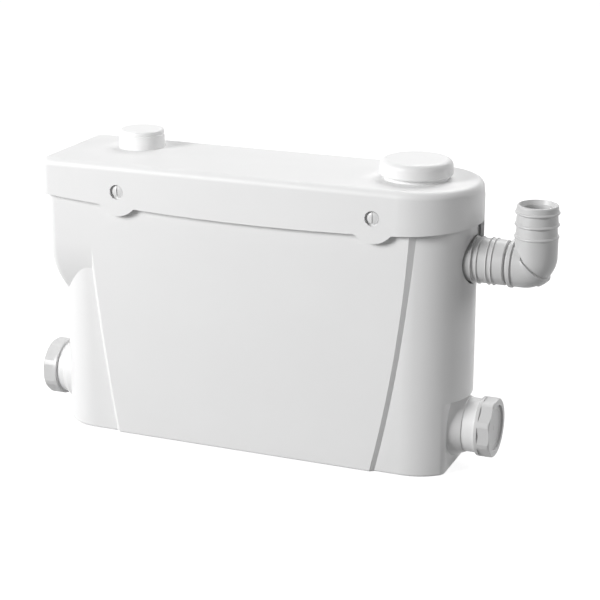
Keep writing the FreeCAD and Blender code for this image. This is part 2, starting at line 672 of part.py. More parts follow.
def make_side_inlet(side, sign):
    turn = "right" if sign > 0 else "left"
    reach = d.right_reach if sign > 0 else d.left_reach
    end = (sign * reach, 0, d.inlet_height)
    turned_part(side + "_inlet_washer", ring_profile(d.neck_bore, d.neck_radius - 0.5, 0, d.washer_height),
                end, turn)
    low = d.washer_height
    turned_part(side + "_inlet_blank",
                ring_profile(0, d.neck_radius - d.seat_gap, low, low + d.blank_thickness), end, turn)

    nut = new_body(side + "_inlet_nut", end, turn)
    top = low + d.blank_thickness + d.nut_lip
    foot = top - d.nut_length
    bore = d.neck_radius + d.nut_play
    edge = d.nut_lip / 2
    turned(nut, "profile", [
        (bore, foot), (d.nut_radius - edge, foot), (d.nut_radius, foot + edge, edge, "left"),
        (d.nut_radius, top - d.nut_edge), (d.nut_radius - d.nut_edge, top, d.nut_edge, "left"),
        (d.nut_window, top),
        (d.nut_window, top - d.nut_lip), (bore, top - d.nut_lip),
    ])
    flat = new_sketch(nut, "flat", "XY_Plane", foot + d.nut_collar)
    box_outline(flat, d.nut_flat, -d.nut_radius, d.nut_radius + 3, d.nut_radius)
    cut = pocket(nut, flat, d.nut_length, reverse=True)
    around(nut, [cut], as_size(8))


# Non-return valves: a seat with two ears and a flap on a pin

def make_valve(prefix, at, turn, up, bore):
    """The valve opens along the body's own Z axis; up is the sign of its own X axis that points up."""
    seat = new_body(prefix + "_valve_seat", at, turn)
    turned(seat, "profile", ring_profile(d.seat_hole, bore - d.valve_play, 0, d.seat_height))
    ears = new_sketch(seat, "ears", "XZ_Plane")
    box_outline(ears, up * (d.flap_hinge - 2.5), d.seat_height - 1, up * d.ear_reach,
                d.seat_height + d.ear_height)
    pad(seat, ears, d.ear_outer * 2, middle=True)
    between = new_sketch(seat, "between", "XZ_Plane")
    box_outline(between, up * (d.flap_hinge - 3), d.seat_height, up * (d.ear_reach + 1),
                d.seat_height + d.ear_height + 1)
    pocket(seat, between, d.ear_inner * 2, middle=True)
    pin_z = d.seat_height + d.flap_gap + d.flap_pin
    hole = circle(new_sketch(seat, "pin_hole", "XZ_Plane"), up * d.flap_hinge, pin_z, d.flap_pin + d.pin_play)
    pocket(seat, hole, d.ear_outer * 3, middle=True)

    flap = new_body(prefix + "_valve_flap", at, turn)
    low = d.seat_height + d.flap_gap
    pad(flap, circle(new_sketch(flap, "disc", "XY_Plane", low), 0, 0, d.flap_radius), d.flap_height)
    tab_half = d.ear_inner - d.flap_gap
    tab = new_sketch(flap, "tab", "XY_Plane", low)
    box_outline(tab, up * (d.flap_radius - 5), -tab_half, up * d.flap_hinge, tab_half)
    pad(flap, tab, d.flap_height)
    pin = circle(new_sketch(flap, "pin", "XZ_Plane"), up * d.flap_hinge, pin_z, d.flap_pin)
    pad(flap, pin, d.ear_outer * 2 - 0.2, middle=True)


# Caps on the lid

def make_caps():
    top = d.vent_height
    edge = d.cap_wall - 0.3
    slim = d.vent_radius - 0.6
    groove = top - d.cap_wall * 1.7
    vent = [
        (d.vent_neck + d.seat_gap, 0), (d.vent_radius, 0), (slim, groove - d.vent_groove),
        (slim - d.vent_groove, groove), (slim - 0.2, groove + d.vent_groove),
        (slim - 0.2, top - edge), (slim - 0.2 - edge, top, edge, "left"),
        (0, top), (0, top - d.cap_wall), (d.vent_neck + d.seat_gap, top - d.cap_wall),
    ]
    turned_part("vent_cap", vent, (-d.vent_x, d.vent_y, d.unit_height))
    turned_part("vent_filter", ring_profile(0, d.vent_bore - d.seat_gap, 0, d.filter_height),
                (-d.vent_x, d.vent_y, d.unit_height))

    # mushroom cap: its plug carries a sealing ring and its brim rests on the neck
    low = d.access_lift
    high = low + d.access_height
    plug = d.access_bore - d.seat_gap
    round_edge = d.access_height * 0.42
    small_edge = d.access_height * 0.15
    groove = low - d.access_plug / 2
    wire = d.seal_wire
    cap = [
        (0, high), (0, high - d.cap_wall), (plug - d.cap_wall, high - d.cap_wall),
        (plug - d.cap_wall, low - d.access_plug), (plug, low - d.access_plug), (plug, groove - wire),
        (plug - wire, groove - wire), (plug - wire, groove + wire), (plug, groove + wire), (plug, low),
        (d.access_radius - small_edge, low), (d.access_radius, low + small_edge, small_edge, "left"),
        (d.access_radius, high - round_edge), (d.access_radius - round_edge, high, round_edge, "left"),
    ]
    turned_part("access_cap", cap, (d.access_x, 0, d.unit_height))
    turned_part("access_cap_seal",
                ring_profile(plug - wire + d.running, plug + d.seat_gap / 2, groove - wire + d.running,
                             groove + wire - d.running),
                (d.access_x, 0, d.unit_height))


# Pan inlet: rubber sleeve over the spigot, with two band clamps

def make_pan_inlet():
    at = (d.pan_x, panel_face + d.pan_spigot - d.sleeve_overlap, d.pan_height)
    inner = d.pan_radius + d.sleeve_play
    outer = inner + d.sleeve_wall
    length = d.sleeve_length
    step = d.sleeve_overlap + 1
    slim = d.sleeve_bore + d.sleeve_wall
    band = d.clamp_width
    sleeve = [
        (inner, 0), (outer + 1.5, 0), (outer + 1.5, 1.5), (outer, 2.2), (outer, step), (outer + 1.6, step + 2),
        (outer + 1.6, step + 4.5), (slim, step + 9), (slim, length - 4), (slim + 2, length - 3),
        (slim + 2, length), (d.sleeve_bore + 1, length), (d.sleeve_bore, length - 1),
        (d.sleeve_bore, step + 6.5), (inner + 1.4, step + 3), (inner, step),
    ]
    turned_part("pan_sleeve", sleeve, at, "back")

    clamps = new_body("pan_clamps", at, "back")
    for name, radius, foot in (("inner", outer, 4), ("outer", slim, length - 5 - band)):
        foot = as_size(foot)
        band_inner = radius + d.running
        turned(clamps, name, ring_profile(band_inner, band_inner + d.clamp_height, foot, foot + band))
        worm = new_sketch(clamps, name + "_worm", "XZ_Plane")
        box_outline(worm, band_inner + d.clamp_height / 2, foot - 0.5, band_inner + 7, foot + band + 0.5)
        pad(clamps, worm, 14, middle=True)


# Discharge: riser, valve housing, spigot, ribbed hose end and swivelling elbow

def make_riser():
    casing_z = d.tank_floor + d.basket_height + d.casing_height / 2
    start_x = d.motor_x - d.plate_radius
    end_x = d.riser_x + d.riser_bend + 6
    corners = [
        (start_x, casing_z), (d.riser_x, casing_z), (d.riser_x, d.outlet_height), (end_x, d.outlet_height),
    ]
    riser = doc.addObject("Part::Feature", "riser_pipe")
    riser.Label = "riser_pipe"
    spots = [Vector(x.value, 0, z.value) for x, z in corners]
    bend = d.riser_bend.value
    edges = []
    start = spots[0]
    for before, corner, after in zip(spots, spots[1:], spots[2:]):
        back = corner + (before - corner).normalize() * bend
        ahead = corner + (after - corner).normalize() * bend
        inward = (before - corner).normalize() + (after - corner).normalize()
        centre = corner + inward * bend
        middle = centre + (corner - centre).normalize() * bend
        edges.append(Part.makeLine(start, back))
        edges.append(Part.Arc(back, middle, ahead).toShape())
        start = ahead
    edges.append(Part.makeLine(start, spots[-1]))
    path = Part.Wire(edges)
    tubes = []
    for radius in (d.pipe_radius.value, (d.pipe_radius - d.pipe_wall).value):
        section = Part.Wire([Part.makeCircle(radius, spots[0], Vector(1, 0, 0))])
        tubes.append(path.makePipeShell([section], True, False))
    riser.Shape = tubes[0].cut(tubes[1])
    bodies.append(riser)
    return end_x


def make_discharge():
    start = make_riser()
    at = (0, 0, d.outlet_height)
    bore = d.neck_bore
    wall = d.housing_radius - bore
    housing = [
        (d.pipe_radius - d.pipe_wall, start), (d.pipe_radius + 2, start), (d.housing_radius, start + 8),
        (d.housing_radius, d.housing_end), (bore, d.housing_end), (bore, start + 8 + wall),
        (d.pipe_radius - d.pipe_wall, start + 4),
    ]
    turned_part("valve_housing", housing, at, "right")
    make_valve("discharge", (start + 16, 0, d.outlet_height), "right", -1, bore)

    spigot_bore = d.spigot_radius - d.spigot_wall
    plug = bore - d.valve_play
    spigot = [
        (spigot_bore, d.housing_end - 8), (plug, d.housing_end - 8), (plug, d.housing_end),
        (d.outlet_hole - 1, d.housing_end), (d.outlet_hole - 1, d.housing_end + 3),
        (d.spigot_radius, d.housing_end + 3), (d.spigot_radius, d.spigot_end), (spigot_bore, d.spigot_end),
    ]
    turned_part("discharge_spigot", spigot, at, "right")

    inner = d.spigot_radius + d.seat_gap
    outer = d.hose_radius
    proud = outer + d.rib_height
    start = d.housing_end + 3 + d.seat_gap
    disc = d.disc_width / 2
    hose = [
        (inner, start), (outer, start), (outer, d.disc_near - disc), (proud, d.disc_near - disc + 0.4),
        (proud, d.disc_near + disc - 0.4), (d.hose_groove, d.disc_near + disc), (d.hose_groove, d.disc_far - disc),
        (proud, d.disc_far - disc + 0.4), (proud, d.disc_far + disc - 0.4), (outer, d.disc_far + disc),
    ]
    half = d.rib_width / 2
    for middle in (d.rib_near, d.rib_far):
        hose += [(outer, middle - half), (proud, middle, half * 1.4, "right")]
        hose += [(outer, middle + half, half * 1.4, "right")]
    end = d.hose_end - d.seat_gap
    hose += [(outer, end - 1), (outer - 1, end), (inner, end)]
    turned_part("discharge_hose", hose, at, "right")
    make_elbow()


def bend_sector(body, name, radius, first, last):
    """Part of the tight bend between two angles; its circle is clipped where it would cross the bend's axis."""
    bend = d.elbow_bend
    half = side_of(radius, bend)
    sketch = new_sketch(body, name, "YZ_Plane", -bend, bend)
    tilt = Rotation(Vector(1, 0, 0), -first)
    sketch.AttachmentOffset = Placement(sketch.AttachmentOffset.Base, tilt)
    outline(sketch, [(half, 0), (0, -bend - radius, radius, "right"), (-half, 0, radius, "right")])
    feature = body.newObject("PartDesign::Revolution", body.Name + "_" + name + "_turn")
    feature.Profile = (sketch, [""])
    feature.ReferenceAxis = (sketch, ["H_Axis"])
    feature.Angle = last - first
    feature.Reversed = True


def make_elbow():
    """A tight elbow: horizontal leg with a collar, a mitred bend with its wedge, and a barbed upright."""
    elbow = new_body("discharge_elbow", (d.elbow_x, 0, d.outlet_height))
    start = d.hose_end - d.elbow_x
    collar = d.collar_from - d.elbow_x
    bend = d.elbow_bend
    radius = d.elbow_radius
    proud = radius + d.collar_proud
    groove = radius - d.collar_groove
    across = collar + d.elbow_collar
    turned(elbow, "leg", [
        (-bend, 0), (-bend, radius), (across + 1.8, radius), (across + 1.4, radius - 0.7),
        (across, radius - 0.7), (across - 0.6, proud),
        (collar + 0.6, proud), (collar, proud - 0.6), (collar, groove), (start, groove), (start, 0),
    ], axis="H_Axis")
    low = d.mitre_from.value
    high = d.mitre_to.value
    bend_sector(elbow, "lower", radius, 0, high)
    bend_sector(elbow, "upper", d.elbow_upper, high, 90)
    bend_sector(elbow, "mitre", radius + d.mitre_proud, low, high)

    top = d.elbow_top
    bead = d.bead_radius
    foot = d.barb_top - d.barb_pitch * 2
    upright = [(0, bend), (d.elbow_upper, bend), (d.elbow_upper, foot - bead)]
    for index in range(3):
        middle = foot + d.barb_pitch * index
        if index:
            upright += [(d.barb_waist, middle - bead)]
        upright += [(d.barb_radius, middle, bead * 1.5, "left"), (d.barb_body, middle + bead, bead * 1.5, "left")]
    upright += [
        (d.barb_body - 0.3, top - 1.6), (d.mouth_radius + 0.8, top, 1.7, "left"), (0, top),
    ]
    turned(elbow, "upright", upright)
    bore = d.spigot_radius + d.running
    reach = d.spigot_end - d.elbow_x + 1
    way = bore - d.spigot_wall
    turned(elbow, "socket", [
        (0, 0), (0, way), (reach, way), (reach, bore), (start - 1, bore), (start - 1, 0),
    ], cut=True, axis="H_Axis")
    turned(elbow, "bore", [
        (0, 0), (way, 0), (way, d.elbow_stop), (d.elbow_bore, d.elbow_stop), (d.elbow_bore, top - d.mouth_depth),
        (d.mouth_foot, top - d.mouth_depth), (d.mouth_radius, top), (d.mouth_radius, top + 1), (0, top + 1),
    ], cut=True)


# Pump: basket, casing, seal plate, sealed motor can and what turns inside

def make_pump():
    floor = d.tank_floor
    casing_foot = floor + d.basket_height
    plate_foot = casing_foot + d.casing_height
    can_foot = plate_foot + d.plate_height
    can_top = d.outlet_height - d.housing_radius - d.can_gap
    axis = (d.motor_x, 0, 0)

    basket = new_body("macerator_basket", axis)
    turned(basket, "cup", [
        (0, floor), (d.basket_radius, floor), (d.basket_radius, casing_foot),
        (d.basket_radius - d.basket_wall, casing_foot), (d.basket_radius - d.basket_wall, floor + 3), (0, floor + 3),
    ])
    slot = new_sketch(basket, "slot", "XY_Plane", floor + 7)
    box_outline(slot, d.basket_radius - 8, -d.slot_width / 2, d.basket_radius + 3, d.slot_width / 2)
    around(basket, [pocket(basket, slot, d.basket_height - 14, reverse=True)], d.basket_slots)

    casing = new_body("pump_casing", axis)
    inner = d.casing_radius - d.casing_wall
    turned(casing, "cup", [
        (d.suction_eye, casing_foot), (d.basket_radius, casing_foot), (d.basket_radius, casing_foot + 4),
        (d.casing_radius, casing_foot + 4), (d.casing_radius, plate_foot), (inner, plate_foot),
        (inner, casing_foot + 4), (d.suction_eye, casing_foot + 4),
    ])
    middle = casing_foot + d.casing_height / 2
    nozzle = circle(new_sketch(casing, "nozzle", "YZ_Plane", -d.plate_radius), 0, middle, d.nozzle_radius)
    pad(casing, nozzle, d.plate_radius - inner - 1)
    port = circle(new_sketch(casing, "port", "YZ_Plane", -d.plate_radius - 1), 0, middle,
                  d.nozzle_radius - d.pipe_wall)
    pocket(casing, port, d.plate_radius - inner + 6, reverse=True)

    boss = d.bearing_radius + 4
    plate = [
        (d.seal_radius - 3, plate_foot), (d.plate_radius, plate_foot), (d.plate_radius, can_foot), (boss, can_foot),
        (boss, can_foot + d.bearing_height), (d.bearing_radius + d.running, can_foot + d.bearing_height),
        (d.bearing_radius + d.running, can_foot), (d.seal_radius, can_foot), (d.seal_radius, plate_foot + 1.5),
        (d.seal_radius - 3, plate_foot + 1.5),
    ]
    turned_part("seal_plate", plate, axis)
    turned_part("shaft_seal",
                ring_profile(d.shaft_radius + d.running, d.seal_radius - d.running, plate_foot + 1.5, can_foot - 0.5),
                axis)

    can_bore = d.plate_radius - d.can_wall
    upper_seat = can_top - 3 - d.bearing_height
    can = [
        (can_bore, can_foot), (d.plate_radius, can_foot), (d.plate_radius, can_top - 5),
        (d.plate_radius - 5, can_top, 5, "left"), (0, can_top), (0, can_top - 3),
        (d.bearing_radius + d.running, can_top - 3), (d.bearing_radius + d.running, upper_seat), (boss, upper_seat),
        (boss, can_top - 3), (can_bore, can_top - 3),
    ]
    turned_part("motor_can", can, axis)
    for name, foot in (("lower_bearing", can_foot), ("upper_bearing", upper_seat)):
        ring = [
            (d.shaft_radius + d.running, foot), (d.shaft_radius + 3, foot), (d.shaft_radius + 3.4, foot + 0.8),
            (d.bearing_radius - 2.9, foot + 0.8), (d.bearing_radius - 2.5, foot), (d.bearing_radius, foot),
            (d.bearing_radius, foot + d.bearing_height), (d.shaft_radius + d.running, foot + d.bearing_height),
        ]
        turned_part(name, ring, axis)

    core_foot = (can_foot + can_top - d.stator_height) / 2
    core_top = core_foot + d.stator_height
    turned_part("stator_core", ring_profile(d.stator_bore, can_bore - d.running, core_foot, core_top), axis)
    windings = new_body("stator_windings", axis)
    for name, foot in (("lower", core_foot - d.winding_height), ("upper", core_top)):
        turned(windings, name, ring_profile(d.stator_bore + 2, can_bore - 3.5, foot, foot + d.winding_height))

    rotor_foot = core_foot + 1
    turned_part("rotor_core", ring_profile(d.shaft_radius + d.fit, d.rotor_radius, rotor_foot, core_top - 1), axis)
    shaft_top = upper_seat + d.bearing_height - 1
    shaft_foot = d.cutter_level - 8
    shaft = [
        (0, shaft_foot), (d.shaft_radius - 1, shaft_foot), (d.shaft_radius - 1, d.cutter_level),
        (d.shaft_radius, d.cutter_level), (d.shaft_radius, shaft_top), (0, shaft_top),
    ]
    turned_part("motor_shaft", shaft, axis)

    # open impeller: a back disc with curved vanes below it
    impeller = new_body("impeller", axis)
    disc_foot = plate_foot - 6
    vane_foot = disc_foot - d.vane_height
    hub = d.shaft_radius + 4
    turned(impeller, "disc", [
        (d.shaft_radius + d.fit, vane_foot), (hub, vane_foot), (hub, disc_foot), (d.impeller_radius, disc_foot),
        (d.impeller_radius, disc_foot + 2.5), (d.shaft_radius + d.fit, disc_foot + 2.5),
    ])
    tip = d.impeller_radius - 0.5
    sweep = d.impeller_radius * 0.75
    thick = d.vane_thickness
    vane = new_sketch(impeller, "vane", "XY_Plane", vane_foot)
    outline(vane, [
        (hub - 1, 0), (tip * 0.62, tip * 0.76, sweep, "left"), (tip * 0.62 - thick, tip * 0.76),
        (hub - 1, thick, sweep - thick, "right"),
    ])
    around(impeller, [pad(impeller, vane, d.vane_height + 0.5)], d.vanes)

    # two-armed cutter under the suction eye, held by a nut
    cutter = new_body("cutter", axis)
    bar = new_sketch(cutter, "bar", "XY_Plane", d.cutter_level - d.cutter_height)
    half = d.cutter_width / 2
    outline(bar, [
        (d.cutter_reach, -half), (d.cutter_reach, 0), (0, half), (-d.cutter_reach, half), (-d.cutter_reach, 0),
        (0, -half),
    ])
    circle(bar, 0, 0, d.shaft_radius - 1 + d.fit)
    pad(cutter, bar, d.cutter_height)
    nut_top = d.cutter_level - d.cutter_height
    nut = new_body("cutter_nut", axis)
    hexagon = new_sketch(nut, "hexagon", "XY_Plane", nut_top - 4)
    flat = d.shaft_radius * 1.5
    outline(hexagon, [
        (flat, flat * 0.57735), (0, flat * 1.1547), (-flat, flat * 0.57735), (-flat, flat * -0.57735),
        (0, flat * -1.1547), (flat, flat * -0.57735),
    ])
    circle(hexagon, 0, 0, d.shaft_radius - 1 + d.fit)
    pad(nut, hexagon, 4)


# Pressure switch: air bell, diaphragm, housing, plunger and microswitch

def make_pressure_switch():
    axis = (-d.bell_x, 0, deck_top)
    fall = deck_top - d.bell_foot
    bore = d.bell_radius - d.bell_wall
    turned_part("pressure_bell", [
        (bore, -fall), (d.bell_radius, -fall), (d.bell_radius, 0), (d.bell_flange, 0),
        (d.bell_flange, d.flange_height), (bore, d.flange_height),
    ], axis)
    level = d.flange_height
    turned_part("pressure_diaphragm", ring_profile(0, d.bell_flange - 1, level, level + d.diaphragm_height), axis)
    level = level + d.diaphragm_height
    top = level + d.switch_height
    room = top - 4
    clear = d.plunger_radius + d.running
    turned_part("switch_housing", [
        (bore, level), (d.bell_flange, level), (d.bell_flange, top - 3), (d.bell_flange - 3, top),
        (clear, top), (clear, room), (bore, room),
    ], axis)
    turned_part("switch_plunger", [
        (0, level), (bore - 4, level), (bore - 4, level + 2), (d.plunger_radius, level + 2),
        (d.plunger_radius, top + 1), (0, top + 1),
    ], axis)
    switch = new_body("microswitch", (-d.bell_x, 0, deck_top + top))
    case = new_sketch(switch, "case", "XY_Plane")
    box_outline(case, -14, -5.5, 14, 5.5)
    pad(switch, case, 14)
    well = circle(new_sketch(switch, "well", "XY_Plane"), 0, 0, clear + 0.3)
    pocket(switch, well, d.plunger_travel + 2, reverse=True)
    tabs = new_sketch(switch, "tabs", "XY_Plane", 13)
    for x in (-10, -1.5, 7):
        box_outline(tabs, x, -2.4, x + 3, 2.4)
    pad(switch, tabs, 5)


# Electrics on the deck

def make_electrics():
    centre = deck_top + d.clip_wall + d.capacitor_radius
    edge = d.capacitor_radius - 2
    start = d.capacitor_x - d.capacitor_length / 2
    capacitor = [
        (0, 0), (edge, 0), (d.capacitor_radius, 2, 2, "left"), (d.capacitor_radius, d.capacitor_length - 2),
        (edge, d.capacitor_length, 2, "left"), (0, d.capacitor_length),
    ]
    turned_part("capacitor", capacitor, (start, 0, centre), "right")
    clip = new_body("capacitor_clip", (d.capacitor_x, 0, deck_top))
    section = new_sketch(clip, "section", "YZ_Plane")
    outer = d.capacitor_radius + d.clip_wall + d.seat_gap
    middle = d.clip_wall + d.capacitor_radius
    box_outline(section, -outer, 0, outer, middle * 0.9)
    pad(clip, section, 14, middle=True)
    saddle = circle(new_sketch(clip, "saddle", "YZ_Plane"), 0, middle, d.capacitor_radius + d.seat_gap / 2)
    pocket(clip, saddle, 20, middle=True)

    block = new_body("terminal_block", (d.block_x, 0, deck_top))
    base = new_sketch(block, "base", "XY_Plane")
    box_outline(base, -d.block_length / 2, -d.block_width / 2, d.block_length / 2, d.block_width / 2)
    pad(block, base, d.block_height * 0.55)
    ridge = new_sketch(block, "ridge", "XY_Plane")
    box_outline(ridge, -d.block_length / 2, -d.block_width / 4, d.block_length / 2, d.block_width / 4)
    pad(block, ridge, d.block_height)
    wells = new_sketch(block, "wells", "XY_Plane", d.block_height - 5)
    for step in (-3, -1, 1, 3):
        circle(wells, d.block_length * step / 8, 0, d.block_length / 16)
    pocket(block, wells, 6, reverse=True)

    # cable gland through the lid's back skirt, with its lock nut inside
    outside = half_lid + d.lid_draft
    gland = new_body("cable_gland", (-d.gland_x, outside, d.gland_height), "back")
    hexagon = new_sketch(gland, "hexagon", "XY_Plane")
    flat = d.gland_hex * 0.866
    outline(hexagon, [
        (flat, d.gland_hex / 2), (0, d.gland_hex), (-flat, d.gland_hex / 2), (-flat, -d.gland_hex / 2),
        (0, -d.gland_hex), (flat, -d.gland_hex / 2),
    ])
    pad(gland, hexagon, 5)
    bore = d.gland_thread - 4.4
    turned(gland, "body", [
        (bore, -8), (d.gland_thread, -8), (d.gland_thread, 4), (d.gland_hex - 2.5, 5),
        (d.gland_hex - 2.5, d.gland_reach - 6), (bore + 2.2, d.gland_reach, 12, "left"), (bore, d.gland_reach),
    ])
    turned(gland, "cord_hole", [(0, -9), (bore, -9), (bore, d.gland_reach + 1), (0, d.gland_reach + 1)], cut=True)
    nut = new_body("gland_nut", (-d.gland_x, half_lid - d.lid_wall, d.gland_height), "front")
    ring = new_sketch(nut, "ring", "XY_Plane")
    outline(ring, [
        (flat, d.gland_hex / 2), (0, d.gland_hex), (-flat, d.gland_hex / 2), (-flat, -d.gland_hex / 2),
        (0, -d.gland_hex), (flat, -d.gland_hex / 2),
    ])
    circle(ring, 0, 0, d.gland_thread + d.running)
    pad(nut, ring, 3)


make_tank()
make_lid()
make_lid_fixings()
make_deck()
make_side_inlet("right", 1)
make_side_inlet("left", -1)
make_valve("right", (d.right_valve + d.seat_height, 0, d.inlet_height), "left", 1, d.neck_bore)
make_valve("left", (-d.left_valve - d.seat_height, 0, d.inlet_height), "right", -1, d.neck_bore)
make_caps()
make_pan_inlet()
make_discharge()
make_pump()
make_pressure_switch()
make_electrics()


# Check every object, then write one file for each sub-part

doc.recompute()
for item in doc.Objects:
    if "Invalid" in item.State or "Error" in item.State:
        raise RuntimeError("failed: %s %s" % (item.Label, item.State))
for body in bodies:
    if body.Shape.isNull() or not body.Shape.isValid():
        raise RuntimeError("bad shape: " + body.Label)
    box = body.Shape.BoundBox
    print("%-22s solids %d volume %.0f z %.1f to %.1f" % (
        body.Label, len(body.Shape.Solids), body.Shape.Volume, box.ZMin, box.ZMax))
for body in bodies:
    body.Shape.exportStep("parts/%s.step" % body.Label)
print("sub-parts:", len(bodies))
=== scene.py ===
"""Looks of the slim sewage lifting unit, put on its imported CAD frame.

The file follows the unit as it is put together, from the tank to the fittings on it. Lengths are
in metres, in the frame's own axes: +X to the discharge, -Y to the front, +Z up.
"""
import math

import bmesh
import bpy
import numpy as np
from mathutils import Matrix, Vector


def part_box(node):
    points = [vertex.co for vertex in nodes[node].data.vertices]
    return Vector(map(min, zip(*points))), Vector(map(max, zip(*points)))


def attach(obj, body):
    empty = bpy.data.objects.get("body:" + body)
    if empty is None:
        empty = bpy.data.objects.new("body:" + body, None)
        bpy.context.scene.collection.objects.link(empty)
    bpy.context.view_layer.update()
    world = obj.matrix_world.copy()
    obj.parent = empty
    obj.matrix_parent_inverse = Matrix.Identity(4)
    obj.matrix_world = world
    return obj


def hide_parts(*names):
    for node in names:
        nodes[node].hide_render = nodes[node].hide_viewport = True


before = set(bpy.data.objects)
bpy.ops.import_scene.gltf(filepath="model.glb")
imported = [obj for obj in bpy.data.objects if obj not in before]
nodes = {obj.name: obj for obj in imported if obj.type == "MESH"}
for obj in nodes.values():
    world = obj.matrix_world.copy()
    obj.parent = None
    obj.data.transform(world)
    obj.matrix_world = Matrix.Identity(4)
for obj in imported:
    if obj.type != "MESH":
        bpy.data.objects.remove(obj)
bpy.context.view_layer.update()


# Tank: one white polypropylene moulding that holds the pump and all the inlets.
# Its skin has the faint orange peel of an etched mould and a slight haze in its gloss.

def surface(name, roughness, metallic=0.0, specular=0.5):
    """A new material: its node tree, its shader and the object coordinates that patterns read."""
    material = bpy.data.materials.new(name)
    material.use_nodes = True
    tree = material.node_tree
    shader = tree.nodes["Principled BSDF"]
    shader.inputs["Roughness"].default_value = roughness
    shader.inputs["Metallic"].default_value = metallic
    shader.inputs["Specular IOR Level"].default_value = specular
    place = tree.nodes.new("ShaderNodeTexCoord").outputs["Object"]
    return material, tree, shader, place


def noise(tree, place, grains_per_metre, detail, stretch=None):
    """Even noise on object coordinates; stretch multiplies the three axes for a grain that runs."""
    if stretch:
        mapping = tree.nodes.new("ShaderNodeMapping")
        mapping.inputs["Scale"].default_value = stretch
        tree.links.new(place, mapping.inputs["Vector"])
        place = mapping.outputs["Vector"]
    node = tree.nodes.new("ShaderNodeTexNoise")
    node.inputs["Scale"].default_value = grains_per_metre
    node.inputs["Detail"].default_value = detail
    tree.links.new(place, node.inputs["Vector"])
    return node.outputs["Fac"]


def spread(tree, factor, low, high, start=0.3, end=0.7):
    """The factor carried from its usual range onto low to high."""
    node = tree.nodes.new("ShaderNodeMapRange")
    for socket, value in zip(("From Min", "From Max", "To Min", "To Max"), (start, end, low, high)):
        node.inputs[socket].default_value = value
    tree.links.new(factor, node.inputs["Value"])
    return node.outputs["Result"]


def tint(tree, factor, first, second):
    """A colour between two, by the factor. A Mix node takes its colours in sockets 6 and 7, and gives
    the mixed one in socket 2."""
    node = tree.nodes.new("ShaderNodeMix")
    node.data_type = "RGBA"
    node.inputs[6].default_value = (*first, 1)
    node.inputs[7].default_value = (*second, 1)
    tree.links.new(factor, node.inputs[0])
    return node.outputs[2]


def relief(tree, shader, factor, depth):
    """Bump of the given depth in metres."""
    node = tree.nodes.new("ShaderNodeBump")
    node.inputs["Distance"].default_value = depth
    tree.links.new(factor, node.inputs["Height"])
    tree.links.new(node.outputs["Normal"], shader.inputs["Normal"])


def moulded(name, colour, roughness, peel=0.00002, mottle=0.985, shinier=0.04, duller=0.05):
    """Moulded plastic: faint mottling, a slightly uneven gloss and a fine orange peel."""
    material, tree, shader, place = surface(name, roughness)
    cloud = spread(tree, noise(tree, place, grains_per_metre=14, detail=2), low=0, high=1)
    darker = tuple(channel * mottle for channel in colour)
    tree.links.new(tint(tree, cloud, darker, colour), shader.inputs["Base Color"])
    patches = noise(tree, place, grains_per_metre=60, detail=3)
    haze = spread(tree, patches, low=roughness - shinier, high=roughness + duller)
    tree.links.new(haze, shader.inputs["Roughness"])
    relief(tree, shader, noise(tree, place, grains_per_metre=900, detail=2), peel)
    return material


def dress(material, *names):
    """Give CAD nodes a finish."""
    for name in names:
        node = nodes[name]
        if not node.material_slots:
            node.data.materials.append(material)
        for held in node.material_slots:
            held.material = material


tank_white = moulded("tank_white", (0.84, 0.84, 0.84), roughness=0.36)
dress(tank_white, "tank")


# Side inlets: a rubber washer, a blanking disc and a compression nut on each threaded neck.
# Disc and nut are injection moulded apart from the tank in a slightly greyer white. That grey is made
# darker still as painted shade for the weaker light on the fittings, and the nut screws down on the disc
# and squeezes the washer.

def rubber(name, colour, bloom=1.35):
    """Moulded rubber: matt, with a dusty bloom in patches and a fine pebble."""
    material, tree, shader, place = surface(name, roughness=0.72, specular=0.35)
    dusty = tuple(min(channel * bloom, 1) for channel in colour)
    patches = spread(tree, noise(tree, place, grains_per_metre=45, detail=4), low=0, high=1)
    tree.links.new(tint(tree, patches, colour, dusty), shader.inputs["Base Color"])
    relief(tree, shader, noise(tree, place, grains_per_metre=1500, detail=2), depth=0.00004)
    return material


# Greyer than the tank's white: partly the fittings' own tone, partly painted shade.
fitting_white_and_painted_shade = moulded("fitting_white_and_painted_shade", (0.63, 0.63, 0.63), roughness=0.38)
seal_black = rubber("seal_black", (0.03, 0.03, 0.033))
dress(fitting_white_and_painted_shade, "right_inlet_nut", "left_inlet_nut")
dress(seal_black, "right_inlet_washer", "left_inlet_washer")


def softened(corners, radius, bends=5, most=0.49):
    """A profile with its inner corners rounded: each becomes (1-t)^2 a + 2t(1-t) corner + t^2 b, where
    a and b lie a radius away along its two sides, or nearly half a side where that is less."""
    corners = np.array(corners, float)
    middle = corners[1:-1]
    ends = []
    for other in (corners[:-2], corners[2:]):
        side = other - middle
        length = np.linalg.norm(side, axis=1, keepdims=True)
        ends.append(middle + side * np.minimum(radius / length, most))
    t = np.linspace(0, 1, bends)[None, :, None]
    curves = (1 - t) ** 2 * ends[0][:, None] + 2 * t * (1 - t) * middle[:, None]
    curves = curves + t ** 2 * ends[1][:, None]
    return np.vstack([corners[:1], curves.reshape(-1, 2), corners[-1:]])


def spun(profile, centre, axis="Z", steps=96, swell=0.0):
    """A profile of (radius, along) carried round an axis: the cross axes get radius cos(turn) and
    radius sin(turn), and the axis gets along. swell adds to the radius, point by point."""
    turn = np.linspace(0, 2 * math.pi, steps + 1)
    radius = profile[:, :1] + swell + 0 * turn
    first, second, third = {"X": (1, 2, 0), "Y": (2, 0, 1), "Z": (0, 1, 2)}[axis]
    grid = np.empty((*radius.shape, 3))
    grid[..., first] = centre[first] + radius * np.cos(turn)
    grid[..., second] = centre[second] + radius * np.sin(turn)
    grid[..., third] = centre[third] + profile[:, 1:]
    return grid


